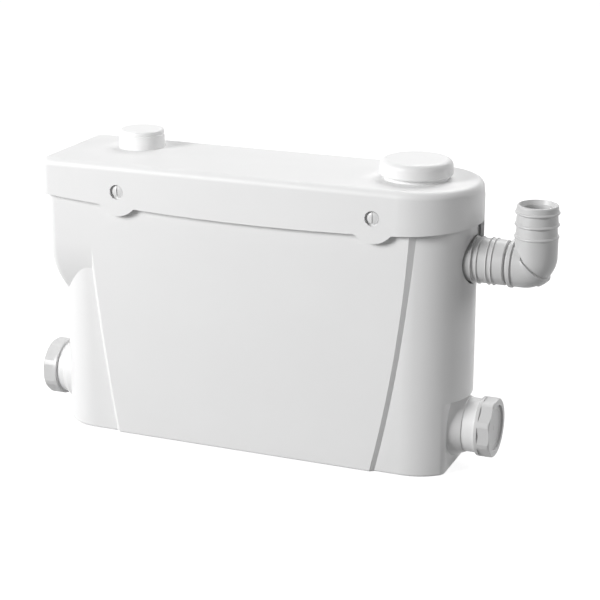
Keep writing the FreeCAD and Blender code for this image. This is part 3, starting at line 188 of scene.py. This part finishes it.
def skin(name, grids, finish, body, stands_for=(), crease=38, touching=1e-6):
    """One mesh from grids of points: neighbours on a grid make its faces, and points that meet, at a
    seam or on an axis, become one."""
    points, faces, used = [], [], 0
    for grid in grids:
        index = np.arange(grid[..., 0].size).reshape(grid.shape[:2]) + used
        corners = (index[:-1, :-1], index[1:, :-1], index[1:, 1:], index[:-1, 1:])
        faces.append(np.stack(corners, axis=-1).reshape(-1, 4))
        points.append(grid.reshape(-1, 3))
        used += index.size
    mesh = bpy.data.meshes.new(name)
    mesh.from_pydata(np.vstack(points).tolist(), [], np.vstack(faces).tolist())
    shell = bmesh.new()
    shell.from_mesh(mesh)
    bmesh.ops.remove_doubles(shell, verts=shell.verts, dist=touching)
    bmesh.ops.recalc_face_normals(shell, faces=shell.faces)
    shell.to_mesh(mesh)
    shell.free()
    mesh.shade_smooth()
    mesh.set_sharp_from_angle(angle=math.radians(crease))
    mesh.materials.append(finish)
    piece = bpy.data.objects.new(name, mesh)
    bpy.context.scene.collection.objects.link(piece)
    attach(piece, body)
    if stands_for:
        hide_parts(*stands_for)


def room(node):
    """A node's centre and half size."""
    low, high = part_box(node)
    return np.array((low + high) / 2), np.array((high - low) / 2)


# Each disc has a shallow dish on its outer face, with the mark of the mould's gate in the middle.

BLANK_EDGE = 0.0004
BLANK_DISH = 0.0165
BLANK_DISH_DEPTH = 0.0006
GATE_MARK = 0.0022
GATE_MARK_EDGE = 0.0003
GATE_MARK_HEIGHT = 0.0002
for side, outward in (("right", 1), ("left", -1)):
    centre, half = room(side + "_inlet_blank")
    dish = half[0] - BLANK_DISH_DEPTH
    blank = softened([
        (0, -half[0]), (half[1], -half[0]), (half[1], half[0]),
        (BLANK_DISH + BLANK_DISH_DEPTH, half[0]), (BLANK_DISH, dish),
        (GATE_MARK + GATE_MARK_EDGE, dish), (GATE_MARK, dish + GATE_MARK_HEIGHT),
        (0, dish + GATE_MARK_HEIGHT),
    ], BLANK_EDGE)
    blank[:, 1] *= outward
    skin(side + "_blank_disc", [spun(blank, centre, "X")], fitting_white_and_painted_shade,
         side + "_blank", [side + "_inlet_blank"])


# Non-return valves: a seat moulded in grey plastic, pressed into each bore, and a rubber-faced flap
# that swings on a pin. They stop the waste from running back.

works_grey = moulded("works_grey", (0.3, 0.32, 0.34), roughness=0.5, peel=0.00004, mottle=0.9)
flap_black = rubber("flap_black", (0.05, 0.05, 0.055))
for side in ("right", "left", "discharge"):
    dress(works_grey, side + "_valve_seat")
    dress(flap_black, side + "_valve_flap")


# Pump: a slotted basket round a two-armed cutter, the casing with its impeller, and the seal plate.
# Basket, casing and plate are moulded in grey plastic, the cutter and its nut are ground steel on
# the motor's shaft. The waste is cut small here and driven into the riser.

dress(works_grey, "macerator_basket", "pump_casing", "seal_plate", "riser_pipe", "valve_housing")
works_black = moulded("works_black", (0.035, 0.035, 0.038), roughness=0.45, peel=0.00004, mottle=0.8)
dress(works_black, "impeller")
dress(seal_black, "shaft_seal")


def turned_metal(name, colour, roughness=0.3, lines=(1, 1, 60), shade=0.8, shinier=0.08, duller=0.12):
    """Turned or ground metal: fine lines round the axis and a little uneven polish."""
    material, tree, shader, place = surface(name, roughness, metallic=1.0)
    grain = noise(tree, place, grains_per_metre=90, detail=4, stretch=lines)
    dull = tuple(channel * shade for channel in colour)
    streaks = spread(tree, grain, low=0, high=1)
    tree.links.new(tint(tree, streaks, dull, colour), shader.inputs["Base Color"])
    polish = spread(tree, grain, low=roughness - shinier, high=roughness + duller)
    tree.links.new(polish, shader.inputs["Roughness"])
    relief(tree, shader, grain, depth=0.00003)
    return material


ground_steel = turned_metal("ground_steel", (0.6, 0.61, 0.62))
dress(ground_steel, "motor_shaft", "cutter", "cutter_nut", "lower_bearing", "upper_bearing")


# Motor: a cast aluminium can that seals the stator, its windings and the rotor from the waste.
# The core is pressed from steel sheets, whose edges show as fine lines.

EVEN = (1, 1, 1)
cast_alloy = turned_metal("cast_alloy", (0.55, 0.56, 0.58), roughness=0.5, lines=EVEN)
core_steel = turned_metal("core_steel", (0.22, 0.22, 0.23), roughness=0.55, lines=(1, 1, 160))
enamelled_copper = turned_metal("enamelled_copper", (0.5, 0.2, 0.07), roughness=0.35, lines=(1, 1, 120))
lacing_cotton = moulded("lacing_cotton", (0.6, 0.55, 0.42), roughness=0.8, peel=0.0001, mottle=0.8)
dress(cast_alloy, "motor_can")
dress(core_steel, "stator_core")

# Each winding head is a bundle of enamelled wire bent round the core's end and laced with cord.

WINDING_INNER = 0.023
STRANDS = 22
STRAND_TWIST = 6
STRAND_HEIGHT = 0.035
SLOW_SWAY = 1.4
SLOW_WAVES = 5
QUICK_SWAY = 0.8
QUICK_WAVES = 11
CORE_SLOTS = 24
BUNDLE_SQUARENESS = 0.55
LACING_TURNS = 30
LACING_THICKNESS = 0.0004
LACING_SQUARENESS = 0.7


def squared(angle, power):
    """The angle's cosine and sine, each made sign(c) |c|^power, so that their loop fills its corners."""
    return [np.sign(part) * np.abs(part) ** power for part in (np.cos(angle), np.sin(angle))]


def rippled_ring(centre, middle, half, steps=420, sides=66):
    """A ring of wound wire: a squared oval goes round the axis, and cos(strands side + twist turn +
    sway) stands its strands proud of it. The sway is a slow sine of the turn and a quick one of turn
    and side."""
    turn = np.linspace(0, 2 * math.pi, steps + 1)[:, None]
    side = np.linspace(0, 2 * math.pi, sides + 1)[None, :]
    sway = SLOW_SWAY * np.sin(SLOW_WAVES * turn) + QUICK_SWAY * np.sin(QUICK_WAVES * turn + side)
    strands = STRAND_HEIGHT * (1 - np.cos(STRANDS * side + STRAND_TWIST * turn + sway))
    proud = 1 - strands - STRAND_HEIGHT * np.cos(CORE_SLOTS * turn)
    wide, high = squared(side, BUNDLE_SQUARENESS)
    radius = middle + wide * half[0] * proud
    level = high * half[1] * proud
    return np.stack([centre[0] + radius * np.cos(turn), centre[1] + radius * np.sin(turn),
                     centre[2] + level], axis=-1)


def lacing(centre, middle, half, steps=1400, sides=6):
    """A thin cord that winds round the ring: its path is a squared oval at side = turns times turn,
    and a small circle across it gives the cord."""
    turn = np.linspace(0, 2 * math.pi, steps, endpoint=False)
    wide, high = squared(LACING_TURNS * turn, LACING_SQUARENESS)
    radial = np.stack([np.cos(turn), np.sin(turn), 0 * turn], axis=-1)
    upward = np.array([0, 0, 1.0])
    path = centre + radial * (middle + wide * half[0])[:, None] + upward * (high * half[1])[:, None]
    outward = radial * wide[:, None] + upward * high[:, None]
    run = np.roll(path, -1, axis=0) - np.roll(path, 1, axis=0)
    across = np.cross(run, outward)
    across /= np.linalg.norm(across, axis=1, keepdims=True)
    level = np.cross(across, run)
    level /= np.linalg.norm(level, axis=1, keepdims=True)
    angle = np.linspace(0, 2 * math.pi, sides + 1)[None, :, None]
    circle = np.cos(angle) * level[:, None] + np.sin(angle) * across[:, None]
    ring = path[:, None] + LACING_THICKNESS * circle
    return np.vstack([ring, ring[:1]])


centre, half = room("stator_windings")
core_half = room("stator_core")[1]
head_half = (half[2] - core_half[2]) / 2
section = ((half[0] - WINDING_INNER) / 2, head_half)
ring_middle = half[0] - section[0]
heads, laces = [], []
for way in (-1, 1):
    head = centre + np.array([0, 0, way * (half[2] - head_half)])
    heads.append(rippled_ring(head, ring_middle, section))
    laces.append(lacing(head, ring_middle, section))
skin("winding_heads", heads, enamelled_copper, "unit", ["stator_windings"], crease=80)
skin("winding_lacing", laces, lacing_cotton, "unit")

# The rotor is a stack of steel sheets with skewed bars, cast into an aluminium ring at each end.

ROTOR_BARS = 18
ROTOR_SKEW = 0.35
ROTOR_STEPS = 288
STACK_ROWS = 25
BAR_GROOVE = 0.0006
GROOVE_FROM = 0.7
GROOVE_STEEPNESS = 6
END_RING = 0.006
END_RING_INNER = 0.012
END_RING_EDGE = 0.0006
centre, half = room("rotor_core")
shaft_radius = room("motor_shaft")[1][0]
stack_half = half[2] - END_RING
stack = np.array([(shaft_radius, -stack_half), (half[0], -stack_half)]
                 + [(half[0], high) for high in np.linspace(-stack_half, stack_half, STACK_ROWS)]
                 + [(half[0], stack_half), (shaft_radius, stack_half), (shaft_radius, -stack_half)])
turn = np.linspace(0, 2 * math.pi, ROTOR_STEPS + 1)
wave = np.cos(ROTOR_BARS * (turn + ROTOR_SKEW * stack[:, 1:] / stack_half / 2))
on_rim = stack[:, :1] > (shaft_radius + half[0]) / 2
groove = -BAR_GROOVE * np.clip((wave - GROOVE_FROM) * GROOVE_STEEPNESS, 0, 1) * on_rim
skin("rotor_stack", [spun(stack, centre, "Z", ROTOR_STEPS, groove)], core_steel, "rotor",
     ["rotor_core"], crease=30)
rings = []
for way in (-1, 1):
    ring = softened([
        (END_RING_INNER, way * stack_half), (half[0] - END_RING_EDGE, way * stack_half),
        (half[0] - 2 * END_RING_EDGE, way * half[2]), (END_RING_INNER, way * half[2]),
        (END_RING_INNER, way * stack_half),
    ], END_RING_EDGE)
    rings.append(spun(ring, centre))
skin("rotor_end_rings", rings, cast_alloy, "rotor")


# Pressure switch: water in the bell squeezes its air, the rubber disc lifts the plunger
# and the plunger trips the switch on top. The disc is moulded with one round fold, so it can lift.

dress(works_grey, "pressure_bell", "switch_plunger", "inner_deck")
dress(works_black, "switch_housing", "microswitch", "capacitor_clip")

DISC_SHEET = 0.0009
DISC_FOLD = 0.019
DISC_FOLD_HALF = 0.0035
DISC_BEAD_FROM = 0.9
DISC_BEAD_SLOPE = 0.04
DISC_CROWN = 0.42
DISC_CROWN_SLOPE = 0.001
DISC_CROWN_HEIGHT = 0.5
DISC_ROWS = 60
centre, half = room("pressure_diaphragm")
disc_radius = half[0] * np.linspace(0, 1, DISC_ROWS)
fold = np.exp(-((disc_radius - DISC_FOLD) / DISC_FOLD_HALF) ** 2)
bead = np.clip((disc_radius - half[0] * DISC_BEAD_FROM) / (half[0] * DISC_BEAD_SLOPE), 0, 1)
crown = np.clip((half[0] * DISC_CROWN - disc_radius) / DISC_CROWN_SLOPE, 0, 1)
raised_by = np.maximum(fold, np.maximum(bead, crown * DISC_CROWN_HEIGHT))
upper = -half[2] + DISC_SHEET + (2 * half[2] - DISC_SHEET) * raised_by
lower = -half[2] + (2 * half[2] - 2 * DISC_SHEET) * fold * (1 - bead)
diaphragm = np.vstack([np.stack([disc_radius, lower], 1), np.stack([disc_radius, upper], 1)[::-1]])
skin("pressure_disc", [spun(diaphragm, centre)], flap_black, "unit",
     ["pressure_diaphragm"])


# Electrics on the deck: a run capacitor in its clip and the terminal block for the motor's lead.
# The capacitor is a white can, crimped near its rolled rim, with two pairs of plug-on tabs.

capacitor_white = moulded("capacitor_white", (0.62, 0.63, 0.62), roughness=0.45)
terminal_cream = moulded("terminal_cream", (0.72, 0.7, 0.62), roughness=0.5)
zinc_plate = turned_metal("zinc_plate", (0.68, 0.68, 0.66), roughness=0.28, lines=EVEN)


def counted_from(radius, place, rows):
    """Rows of (out, along) made points of a profile, each counted from a radius and a place."""
    return [(radius + out, place + along) for out, along in rows]


CAN_END = 0.008
CAN_CRIMP = ((0, -0.005), (-0.0009, -0.0036), (-0.0009, -0.0028), (0, -0.0014))
CAN_RIM = ((0, 0), (-0.0012, 0), (-0.0016, -0.001))
CAN_TOP = ((0.0035, -0.001), (0.003, -0.0004), (0, -0.0004))
CAN_FOOT_ROUNDING = 0.002
CAN_ROUNDING = 0.0006
TAB_WIDTH = 0.0063
TAB_THICKNESS = 0.0008
TAB_GAP = 0.0065
TAB_RISE = 0.0022
TAB_ROOT = 0.001
centre, half = room("capacitor")
body_end = half[0] - CAN_END
can = [(0, -half[0]), (half[1], -half[0])]
can += counted_from(half[1], body_end, CAN_CRIMP + CAN_RIM)
can += counted_from(0, body_end, CAN_TOP)
roundings = np.full((len(can) - 2, 1), CAN_ROUNDING)
roundings[0] = CAN_FOOT_ROUNDING
skin("capacitor_can", [spun(softened(can, roundings), centre, "X", steps=72)], capacitor_white,
     "unit", ["capacitor"])

# A tab is a flat blade whose tip narrows: five rings of four corners, the outer two shrunk shut.

tab_along = np.array([0, 0, 0.75, 1, 1])[:, None] * CAN_END + body_end - TAB_ROOT
tab_wide = np.array([0, 1, 1, 0.72, 0])[:, None] * np.array([-1, 1, 1, -1, -1]) * TAB_WIDTH / 2
tab_thick = np.array([0, 1, 1, 1, 0])[:, None] * np.array([-1, -1, 1, 1, -1]) * TAB_THICKNESS / 2
tab = np.stack([tab_along + 0 * tab_wide, tab_wide, tab_thick], -1)
tabs = []
for across in (-TAB_GAP, TAB_GAP):
    for above in (-TAB_RISE, TAB_RISE):
        tabs.append(centre + tab + np.array([0, across, above]))
skin("capacitor_tabs", tabs, zinc_plate, "unit")


def block_under(x, y, top, floor):
    """A solid under a map of heights on x and y: the map's edge drops to the floor, which closes it."""
    heights = np.pad(top, 1, constant_values=floor)
    wide_x, wide_y = np.meshgrid(np.pad(x, 1, mode="edge"), np.pad(y, 1, mode="edge"), indexing="ij")
    flat_x, flat_y = np.meshgrid(x, y, indexing="ij")
    return [np.stack([wide_x, wide_y, heights], -1), np.stack([flat_x, flat_y, 0 * flat_x + floor], -1)]


def slotted_head(radius, heights, turn, slot_half, slot_depth, top_skin=0.0001):
    """A screw's head: each row is radius (cos turn, sin turn) at its height, and the rows on top drop
    by the slot's depth where |radius sin turn| is under half its width."""
    on_top = heights > heights.max() - top_skin
    driven = (np.abs(radius * np.sin(turn)) < slot_half) & on_top
    levels = heights + 0 * turn - slot_depth * driven
    return np.stack([radius * np.cos(turn), radius * np.sin(turn), levels], -1)


# The terminal block has four poles between ribs, each with a clamp screw in a round well. Its height
# is a ridge along the middle and a lower shoulder on each side, mapped over the block's plan.

POLES = 4
RIB_SHARE = 0.14
RIB_SLOPE = 0.03
RIDGE_SLOPE = 0.0006
RIDGE_NOTCH = 0.0012
SHOULDER_HEIGHT = 0.0088
SHOULDER_RIB = 0.0025
WELL_RADIUS = 0.0033
WELL_SLOPE = 0.0003
WELL_DEPTH = 0.0055
BLOCK_COLUMNS = 231
BLOCK_ROWS = 101
centre, half = room("terminal_block")
x = np.linspace(-half[0], half[0], BLOCK_COLUMNS)
y = np.linspace(-half[1], half[1], BLOCK_ROWS)
grid_x, grid_y = np.meshgrid(x, y, indexing="ij")
pole = (grid_x / half[0] + 1) / 2 * POLES
between = 1 - np.clip((np.abs(pole - np.round(pole)) - RIB_SHARE / 2) / RIB_SLOPE, 0, 1)
ridge = np.clip((half[1] / 2 - np.abs(grid_y)) / RIDGE_SLOPE, 0, 1)
last_pole = POLES - 0.001
pole_x = (np.floor(np.clip(pole, 0, last_pole)) + 0.5) / POLES * 2 * half[0] - half[0]
well = np.clip((WELL_RADIUS - np.hypot(grid_x - pole_x, grid_y)) / WELL_SLOPE, 0, 1)
ridge_top = 2 * half[2] - RIDGE_NOTCH * between
shoulder_top = SHOULDER_HEIGHT + SHOULDER_RIB * between
top = ridge_top * ridge + shoulder_top * (1 - ridge) - WELL_DEPTH * well
block = [grid + centre for grid in block_under(x, y, top - half[2], -half[2])]
skin("terminal_strip", block, terminal_cream, "unit", ["terminal_block"])

TERMINAL_SCREW_GAP = 0.0006
TERMINAL_SCREW_EDGE = 0.0003
TERMINAL_SCREW_HEIGHT = 0.0016
TERMINAL_SCREW_STEPS = 24
turn = np.linspace(0, 2 * math.pi, TERMINAL_SCREW_STEPS + 1)
radius = np.array([0, 0.4, 0.8, 1, 1])[:, None] * (WELL_RADIUS - TERMINAL_SCREW_GAP)
heights = np.array([0, 0, 0, -TERMINAL_SCREW_EDGE, -TERMINAL_SCREW_HEIGHT])[:, None]
head = slotted_head(radius, heights, turn, slot_half=0.0005, slot_depth=0.0006)
head_z = half[2] - WELL_DEPTH + TERMINAL_SCREW_HEIGHT
screws = []
for number in range(POLES):
    head_x = (number + 0.5) / POLES * 2 * half[0] - half[0]
    screws.append(centre + head + np.array([head_x, 0, head_z]))
skin("terminal_screws", screws, zinc_plate, "unit")


# Lid: a white moulded shell with a curved skirt, sealed on the tank's rim by a rubber gasket.
# Four white-lacquered screws, sunk in the skirt's round lugs, hold it.

lid_white = moulded("lid_white", (0.845, 0.845, 0.845), roughness=0.48)
screw_lacquer = moulded("screw_lacquer", (0.74, 0.74, 0.74), roughness=0.35)
dress(lid_white, "lid")
dress(seal_black, "lid_gasket")
dress(screw_lacquer, "lid_screws")


# Caps: the vent cap over its foam filter, and the access cap with its rubber sealing ring.
# Both are moulded and pull straight off. The foam is a disc of open cells, black with charcoal.

foam_black = rubber("foam_black", (0.03, 0.03, 0.03))
# The vent cap's white is lighter than the lid's: painted light for the brighter light that falls on it.
vent_cap_painted_light_white = moulded("vent_cap_painted_light_white", (0.9, 0.9, 0.9), roughness=0.45)
dress(lid_white, "access_cap")
dress(vent_cap_painted_light_white, "vent_cap")
dress(seal_black, "access_cap_seal")

FOAM_CELLS = 2800
FOAM_PORE = 0.0005
FOAM_MIDDLE = 0.001
FACE_ROWS = 30
EDGE_ROWS = 14
centre, half = room("vent_filter")
pad = np.vstack([
    np.stack([np.linspace(0, half[0], FACE_ROWS), np.full(FACE_ROWS, -half[2])], 1),
    np.stack([np.full(EDGE_ROWS, half[0]), np.linspace(-half[2], half[2], EDGE_ROWS)], 1),
    np.stack([np.linspace(half[0], 0, FACE_ROWS), np.full(FACE_ROWS, half[2])], 1),
])
foam = spun(pad, centre, steps=180)

# A gyroid, sin x cos y + sin y cos z + sin z cos x, is above nought in the pores, which sink inwards.

cells = FOAM_CELLS * (foam - centre)
sines, cosines = np.sin(cells), np.cos(cells)
gyroid = np.sum(sines * np.roll(cosines, -1, axis=-1), axis=-1)
pore = FOAM_PORE * np.clip(gyroid, 0, 1)[..., None]
inward = (centre - foam) / half
inward /= np.maximum(np.linalg.norm(inward, axis=-1, keepdims=True), FOAM_MIDDLE)
skin("vent_foam", [foam + inward * pore], foam_black, "unit", ["vent_filter"], crease=70)


# Discharge: a grey spigot, the ribbed white hose end pushed on it and the barbed elbow that swivels.
# All three are moulded. The ribs let the hose give, and the barbs hold the hose of the pipe beyond.

dress(works_grey, "discharge_spigot")
# The hose end and elbow take the fittings' white, which is darkened in part as painted shade.
dress(fitting_white_and_painted_shade, "discharge_hose", "discharge_elbow")


# Pan inlet: a moulded rubber sleeve over the tank's spigot, which takes the pan's outlet in its fins.
# A round fold lets it give, and a band clamp at each end draws it tight.

sleeve_black = rubber("sleeve_black", (0.04, 0.04, 0.043))

SPIGOT_FIT = 0.0543
PAN_FIT = 0.051
SLEEVE_WALL = 0.0035
SLEEVE_ROUNDING = 0.0007
BAND_WIDTH = 0.009
BAND_FEET = (0.004, 0.032)
STOP_CLEARANCE = 0.0003
STOP_BEAD = 0.0009
STOP_END = 0.0016
FOLD_FOOT = 0.016
FOLD_TOP = 0.025
SPIGOT_RIM = ((0.0015, 0), (0.0015, 0.0015), (0, 0.0023))
FOLD_RISE = ((0, -0.0008), (0.0016, 0.0015), (0.0016, 0.004))
FOLD_DIP = ((0.0006, 0.0065),)
FOLD_END = ((0.0016, -0.0008), (0, 0.001))
PAN_BEAD = ((0, -0.0018), (0.0009, -0.0011), (0, -0.0004))
PAN_RIM = ((0, -0.0044), (0.002, -0.0034), (0.002, 0))
PAN_MOUTH = ((0.001, 0), (0, -0.001))
FIN = ((0, 0.0009), (-0.0015, 0.0013), (-0.0013, 0.0007), (0, -0.0008))
FIN_PLACES = (0.0275, 0.0325, 0.0375)
FOLD_INSIDE = ((0.0014, 0.0035), (0, 0))


def ring_stops(foot):
    """Rows of the sleeve's profile that keep a band at its foot: its seat and a low bead beyond it."""
    end = foot + BAND_WIDTH
    seat = ((0, foot - STOP_CLEARANCE), (0, end + STOP_CLEARANCE))
    return seat + ((STOP_BEAD, end + STOP_BEAD), (0, end + STOP_END))


centre, half = room("pan_sleeve")
sleeve_start = np.array([centre[0], centre[1] - half[1], centre[2]])
length = 2 * half[1]
big = SPIGOT_FIT + SLEEVE_WALL
slim = PAN_FIT + SLEEVE_WALL
sleeve = [(SPIGOT_FIT, 0)]
sleeve += counted_from(big, 0, SPIGOT_RIM + ring_stops(BAND_FEET[0]))
sleeve += counted_from(big, FOLD_FOOT, FOLD_RISE)
sleeve += counted_from(slim, FOLD_FOOT, FOLD_DIP)
sleeve += counted_from(slim, FOLD_TOP, FOLD_END)
sleeve += counted_from(slim, BAND_FEET[1], PAN_BEAD)
sleeve += counted_from(slim, length, PAN_RIM)
sleeve += counted_from(PAN_FIT, length, PAN_MOUTH)
for place in FIN_PLACES[::-1]:
    sleeve += counted_from(PAN_FIT, place, FIN)
sleeve += counted_from(PAN_FIT, FOLD_TOP, ((0, -0.002),))
sleeve += counted_from(SPIGOT_FIT, FOLD_FOOT, FOLD_INSIDE)
sleeve += [(SPIGOT_FIT, 0)]
sleeve = softened(sleeve, SLEEVE_ROUNDING, bends=4)
skin("pan_sleeve_rubber", [spun(sleeve, sleeve_start, "Y", steps=160)], sleeve_black,
     "unit", ["pan_sleeve"], crease=50)

# Each clamp is a thin slotted band that a worm screw draws round the sleeve; its housing is pressed
# from the same zinc-plated strip and the screw has a slotted hexagon head.

BAND_GAP = 0.00006
BAND_SHEET = 0.0007
BAND_HEM = 0.0004
HEM_WIDTH = 0.0007
BAND_STEPS = 1080
SLOT_PITCH = 0.0026
SLOT_DEPTH = 0.0004
SLOT_REACH = 0.0027
SLOT_FROM = 0.1
SLOTTED_ARC = 1.1
HOUSING_LENGTH = 0.014
HOUSING_HEIGHT = 0.007
HOUSING_FOOT = 0.0016
HOUSING_UNDERSIDE = 0.0006
HOUSING_OVERHANG = 0.0004
HOUSING_END = 0.0012
HOUSING_END_SLOPE = 0.0003
BARREL_RADIUS = 0.0042
BARREL_FULLNESS = 0.6
SCREW_HEX = 0.0035
SCREW_CORNER_CUT = 0.93
SCREW_REACH = 0.0045
SCREW_NECK = 0.001
SCREW_FLANGE = 0.0012
SCREW_EDGE = 0.0004
SCREW_LIFT = 0.0002


def slotted_band(inner, middle, rows=25):
    """A strip with a hem along each edge, carried round the sleeve. Its outer rows sink by the slots'
    depth where sin(2 pi arc / pitch) is over a small limit, on the arc next to the screw."""
    across = np.linspace(-BAND_WIDTH / 2, BAND_WIDTH / 2, rows)
    hem = BAND_HEM * np.clip((np.abs(across) - BAND_WIDTH / 2 + HEM_WIDTH) / BAND_HEM, 0, 1)
    under = np.stack([inner + 0 * across, across], 1)
    over = np.stack([inner + BAND_SHEET + hem, across], 1)[::-1]
    strip = np.vstack([under, over, under[:1]])
    turn = np.linspace(0, 2 * math.pi, BAND_STEPS + 1)
    from_screw = (turn + math.pi / 2) % (2 * math.pi) - math.pi
    slots = np.sin(2 * math.pi * turn * inner / SLOT_PITCH) > SLOT_FROM
    slotted = slots & (np.abs(from_screw) < SLOTTED_ARC)
    outer_rows = (strip[:, :1] > inner + BAND_SHEET / 2) & (np.abs(strip[:, 1:]) < SLOT_REACH)
    cut = -SLOT_DEPTH * slotted * outer_rows
    return spun(strip + np.array([0, middle]), sleeve_start, "Y", BAND_STEPS, cut)


def worm_housing(inner, middle, rows=41):
    """A housing over the worm: it rises from a foot by barrel^0.6, where barrel is the square root of
    1 - (across / barrel radius)^2, and falls to the foot again near both its ends. The map's height
    becomes the way out from the sleeve."""
    along = np.linspace(-HOUSING_LENGTH / 2, HOUSING_LENGTH / 2, rows)
    half_width = BAND_WIDTH / 2 + HOUSING_OVERHANG
    wide = np.linspace(-half_width, half_width, rows)
    grid_z, grid_y = np.meshgrid(along, wide, indexing="ij")
    barrel = np.sqrt(np.clip(1 - (grid_y / BARREL_RADIUS) ** 2, 0, 1))
    ends = np.clip((HOUSING_LENGTH / 2 - HOUSING_END - np.abs(grid_z)) / HOUSING_END_SLOPE, 0, 1)
    rise = HOUSING_FOOT + (HOUSING_HEIGHT - HOUSING_FOOT) * barrel ** BARREL_FULLNESS * ends
    place = sleeve_start + np.array([inner, middle, 0])
    return [place + grid[..., (2, 1, 0)] for grid in block_under(along, wide, rise, HOUSING_UNDERSIDE)]


def worm_screw(inner, middle, steps=72):
    """A hexagon head over a thinner neck: the flats lie at hex cos(30) / cos(turn - 30) in each sixth
    of a turn, their corners are cut to a circle, and rings of it shrink shut on top."""
    turn = np.linspace(0, 2 * math.pi, steps + 1)
    flats = SCREW_HEX * math.cos(math.pi / 6) / np.cos((turn % (math.pi / 3)) - math.pi / 6)
    shares = np.array([0.45, 0.45, 1, 1, 0.86, 0.7, 0.5, 0.25, 0])[:, None]
    sides = [-SCREW_NECK, SCREW_FLANGE, SCREW_FLANGE, SCREW_REACH - SCREW_EDGE]
    heights = np.array(sides + [SCREW_REACH] * 5)[:, None]
    radius = np.minimum(shares * flats, SCREW_CORNER_CUT * SCREW_HEX)
    head = slotted_head(radius, heights, turn, slot_half=0.00055, slot_depth=0.001)
    axis_height = inner + HOUSING_HEIGHT / 2 + SCREW_LIFT
    return sleeve_start + head + np.array([axis_height, middle, HOUSING_LENGTH / 2 - HOUSING_END])


bands, screws = [], []
for foot, carrier in zip(BAND_FEET, (big, slim)):
    inner = carrier + BAND_GAP
    middle = foot + BAND_WIDTH / 2
    bands.append(slotted_band(inner, middle))
    bands += worm_housing(inner, middle)
    screws.append(worm_screw(inner, middle))
skin("clamp_bands", bands, zinc_plate, "unit", ["pan_clamps"], crease=30)
skin("clamp_screws", screws, zinc_plate, "unit", crease=30)


# Cable gland: a grey nylon gland screwed through the lid's back, with its lock nut inside.
# Its domed cap nut squeezes a seal round the motor's lead.

gland_grey = moulded("gland_grey", (0.5, 0.51, 0.52), roughness=0.45)
dress(gland_grey, "cable_gland", "gland_nut")


# Setting: a plain pale floor that fades into white, soft studio light and the camera. The white is
# there only for what looks at it or mirrors it; the lamps and a faint sky light the unit.

def seen_directly(tree):
    """One where a camera, a mirror or clear glass looks at it, nought where it only gives light."""
    path = tree.nodes.new("ShaderNodeLightPath")
    total = path.outputs["Is Camera Ray"]
    for name in ("Is Glossy Ray", "Is Transmission Ray"):
        node = tree.nodes.new("ShaderNodeMath")
        node.operation = "MAXIMUM"
        tree.links.new(total, node.inputs[0])
        tree.links.new(path.outputs[name], node.inputs[1])
        total = node.outputs["Value"]
    return total


FLOOR_TONE = 0.25
FLOOR_GLOW = 0.9
FLOOR_REACH = 6.0


def floor_finish():
    """A matt floor that glows for whoever looks at it, so it looks pale and only its shadow is grey."""
    material = bpy.data.materials.new("floor_pale")
    material.use_nodes = True
    tree = material.node_tree
    shader = tree.nodes["Principled BSDF"]
    shader.inputs["Base Color"].default_value = (FLOOR_TONE, FLOOR_TONE, FLOOR_TONE, 1)
    shader.inputs["Roughness"].default_value = 0.9
    shader.inputs["Emission Color"].default_value = (1, 1, 1, 1)
    glow = spread(tree, seen_directly(tree), low=0, high=FLOOR_GLOW, start=0, end=1)
    tree.links.new(glow, shader.inputs["Emission Strength"])
    return material


floor_mesh = bpy.data.meshes.new("floor")
corners = [(x * FLOOR_REACH, y * FLOOR_REACH, 0) for x, y in ((-1, -1), (1, -1), (1, 1), (-1, 1))]
floor_mesh.from_pydata(corners, [], [(0, 1, 2, 3)])
floor = bpy.data.objects.new("floor", floor_mesh)
floor_mesh.materials.append(floor_finish())
bpy.context.scene.collection.objects.link(floor)

SKY_LIGHT = 0.1
world = bpy.data.worlds.new("studio")
bpy.context.scene.world = world
world.use_nodes = True
sky_tree = world.node_tree
sky = sky_tree.nodes["Background"]
sky.inputs["Color"].default_value = (1, 1, 1, 1)
sky_strength = spread(sky_tree, seen_directly(sky_tree), low=SKY_LIGHT, high=1, start=0, end=1)
sky_tree.links.new(sky_strength, sky.inputs["Strength"])

UNIT_MIDDLE = Vector((0.03, 0, 0.15))


def softbox(name, place, width, height, power):
    """A rectangular studio light at place that points at the unit's middle."""
    lamp = bpy.data.lights.new(name, "AREA")
    lamp.shape = "RECTANGLE"
    lamp.size = width
    lamp.size_y = height
    lamp.energy = power
    holder = bpy.data.objects.new(name, lamp)
    bpy.context.scene.collection.objects.link(holder)
    holder.location = place
    holder.rotation_euler = (UNIT_MIDDLE - Vector(place)).to_track_quat("-Z", "Y").to_euler()


softbox("key", (-1.78, -2.3, 1.4), width=1.2, height=1.2, power=98)
softbox("left", (-2.9, 0.2, 1.2), width=1.2, height=1.6, power=12)
softbox("top", (0.2, 1.6, 1.9), width=1.4, height=1.2, power=32)
softbox("rim", (2.84, 0.4, 1.3), width=0.8, height=1.4, power=19)

# The camera stands where the photograph's stood, found by matching points of the unit.

SENSOR_WIDTH = 36
LENS = 104.5
AIM = Vector((0.0447, -0.026, 0.1493))
AZIMUTH = math.radians(22.22)
ELEVATION = math.radians(17.66)
DISTANCE = 1.617086
camera_data = bpy.data.cameras.new("camera")
camera_data.sensor_width = SENSOR_WIDTH
camera_data.lens = LENS
camera = bpy.data.objects.new("camera", camera_data)
bpy.context.scene.collection.objects.link(camera)
level_reach = math.cos(ELEVATION)
away = Vector((math.sin(AZIMUTH) * level_reach, -math.cos(AZIMUTH) * level_reach, math.sin(ELEVATION)))
camera.location = AIM + away * DISTANCE
camera.rotation_euler = (-away).to_track_quat("-Z", "Y").to_euler()
bpy.context.scene.camera = camera
bpy.context.scene.view_settings.view_transform = "Standard"
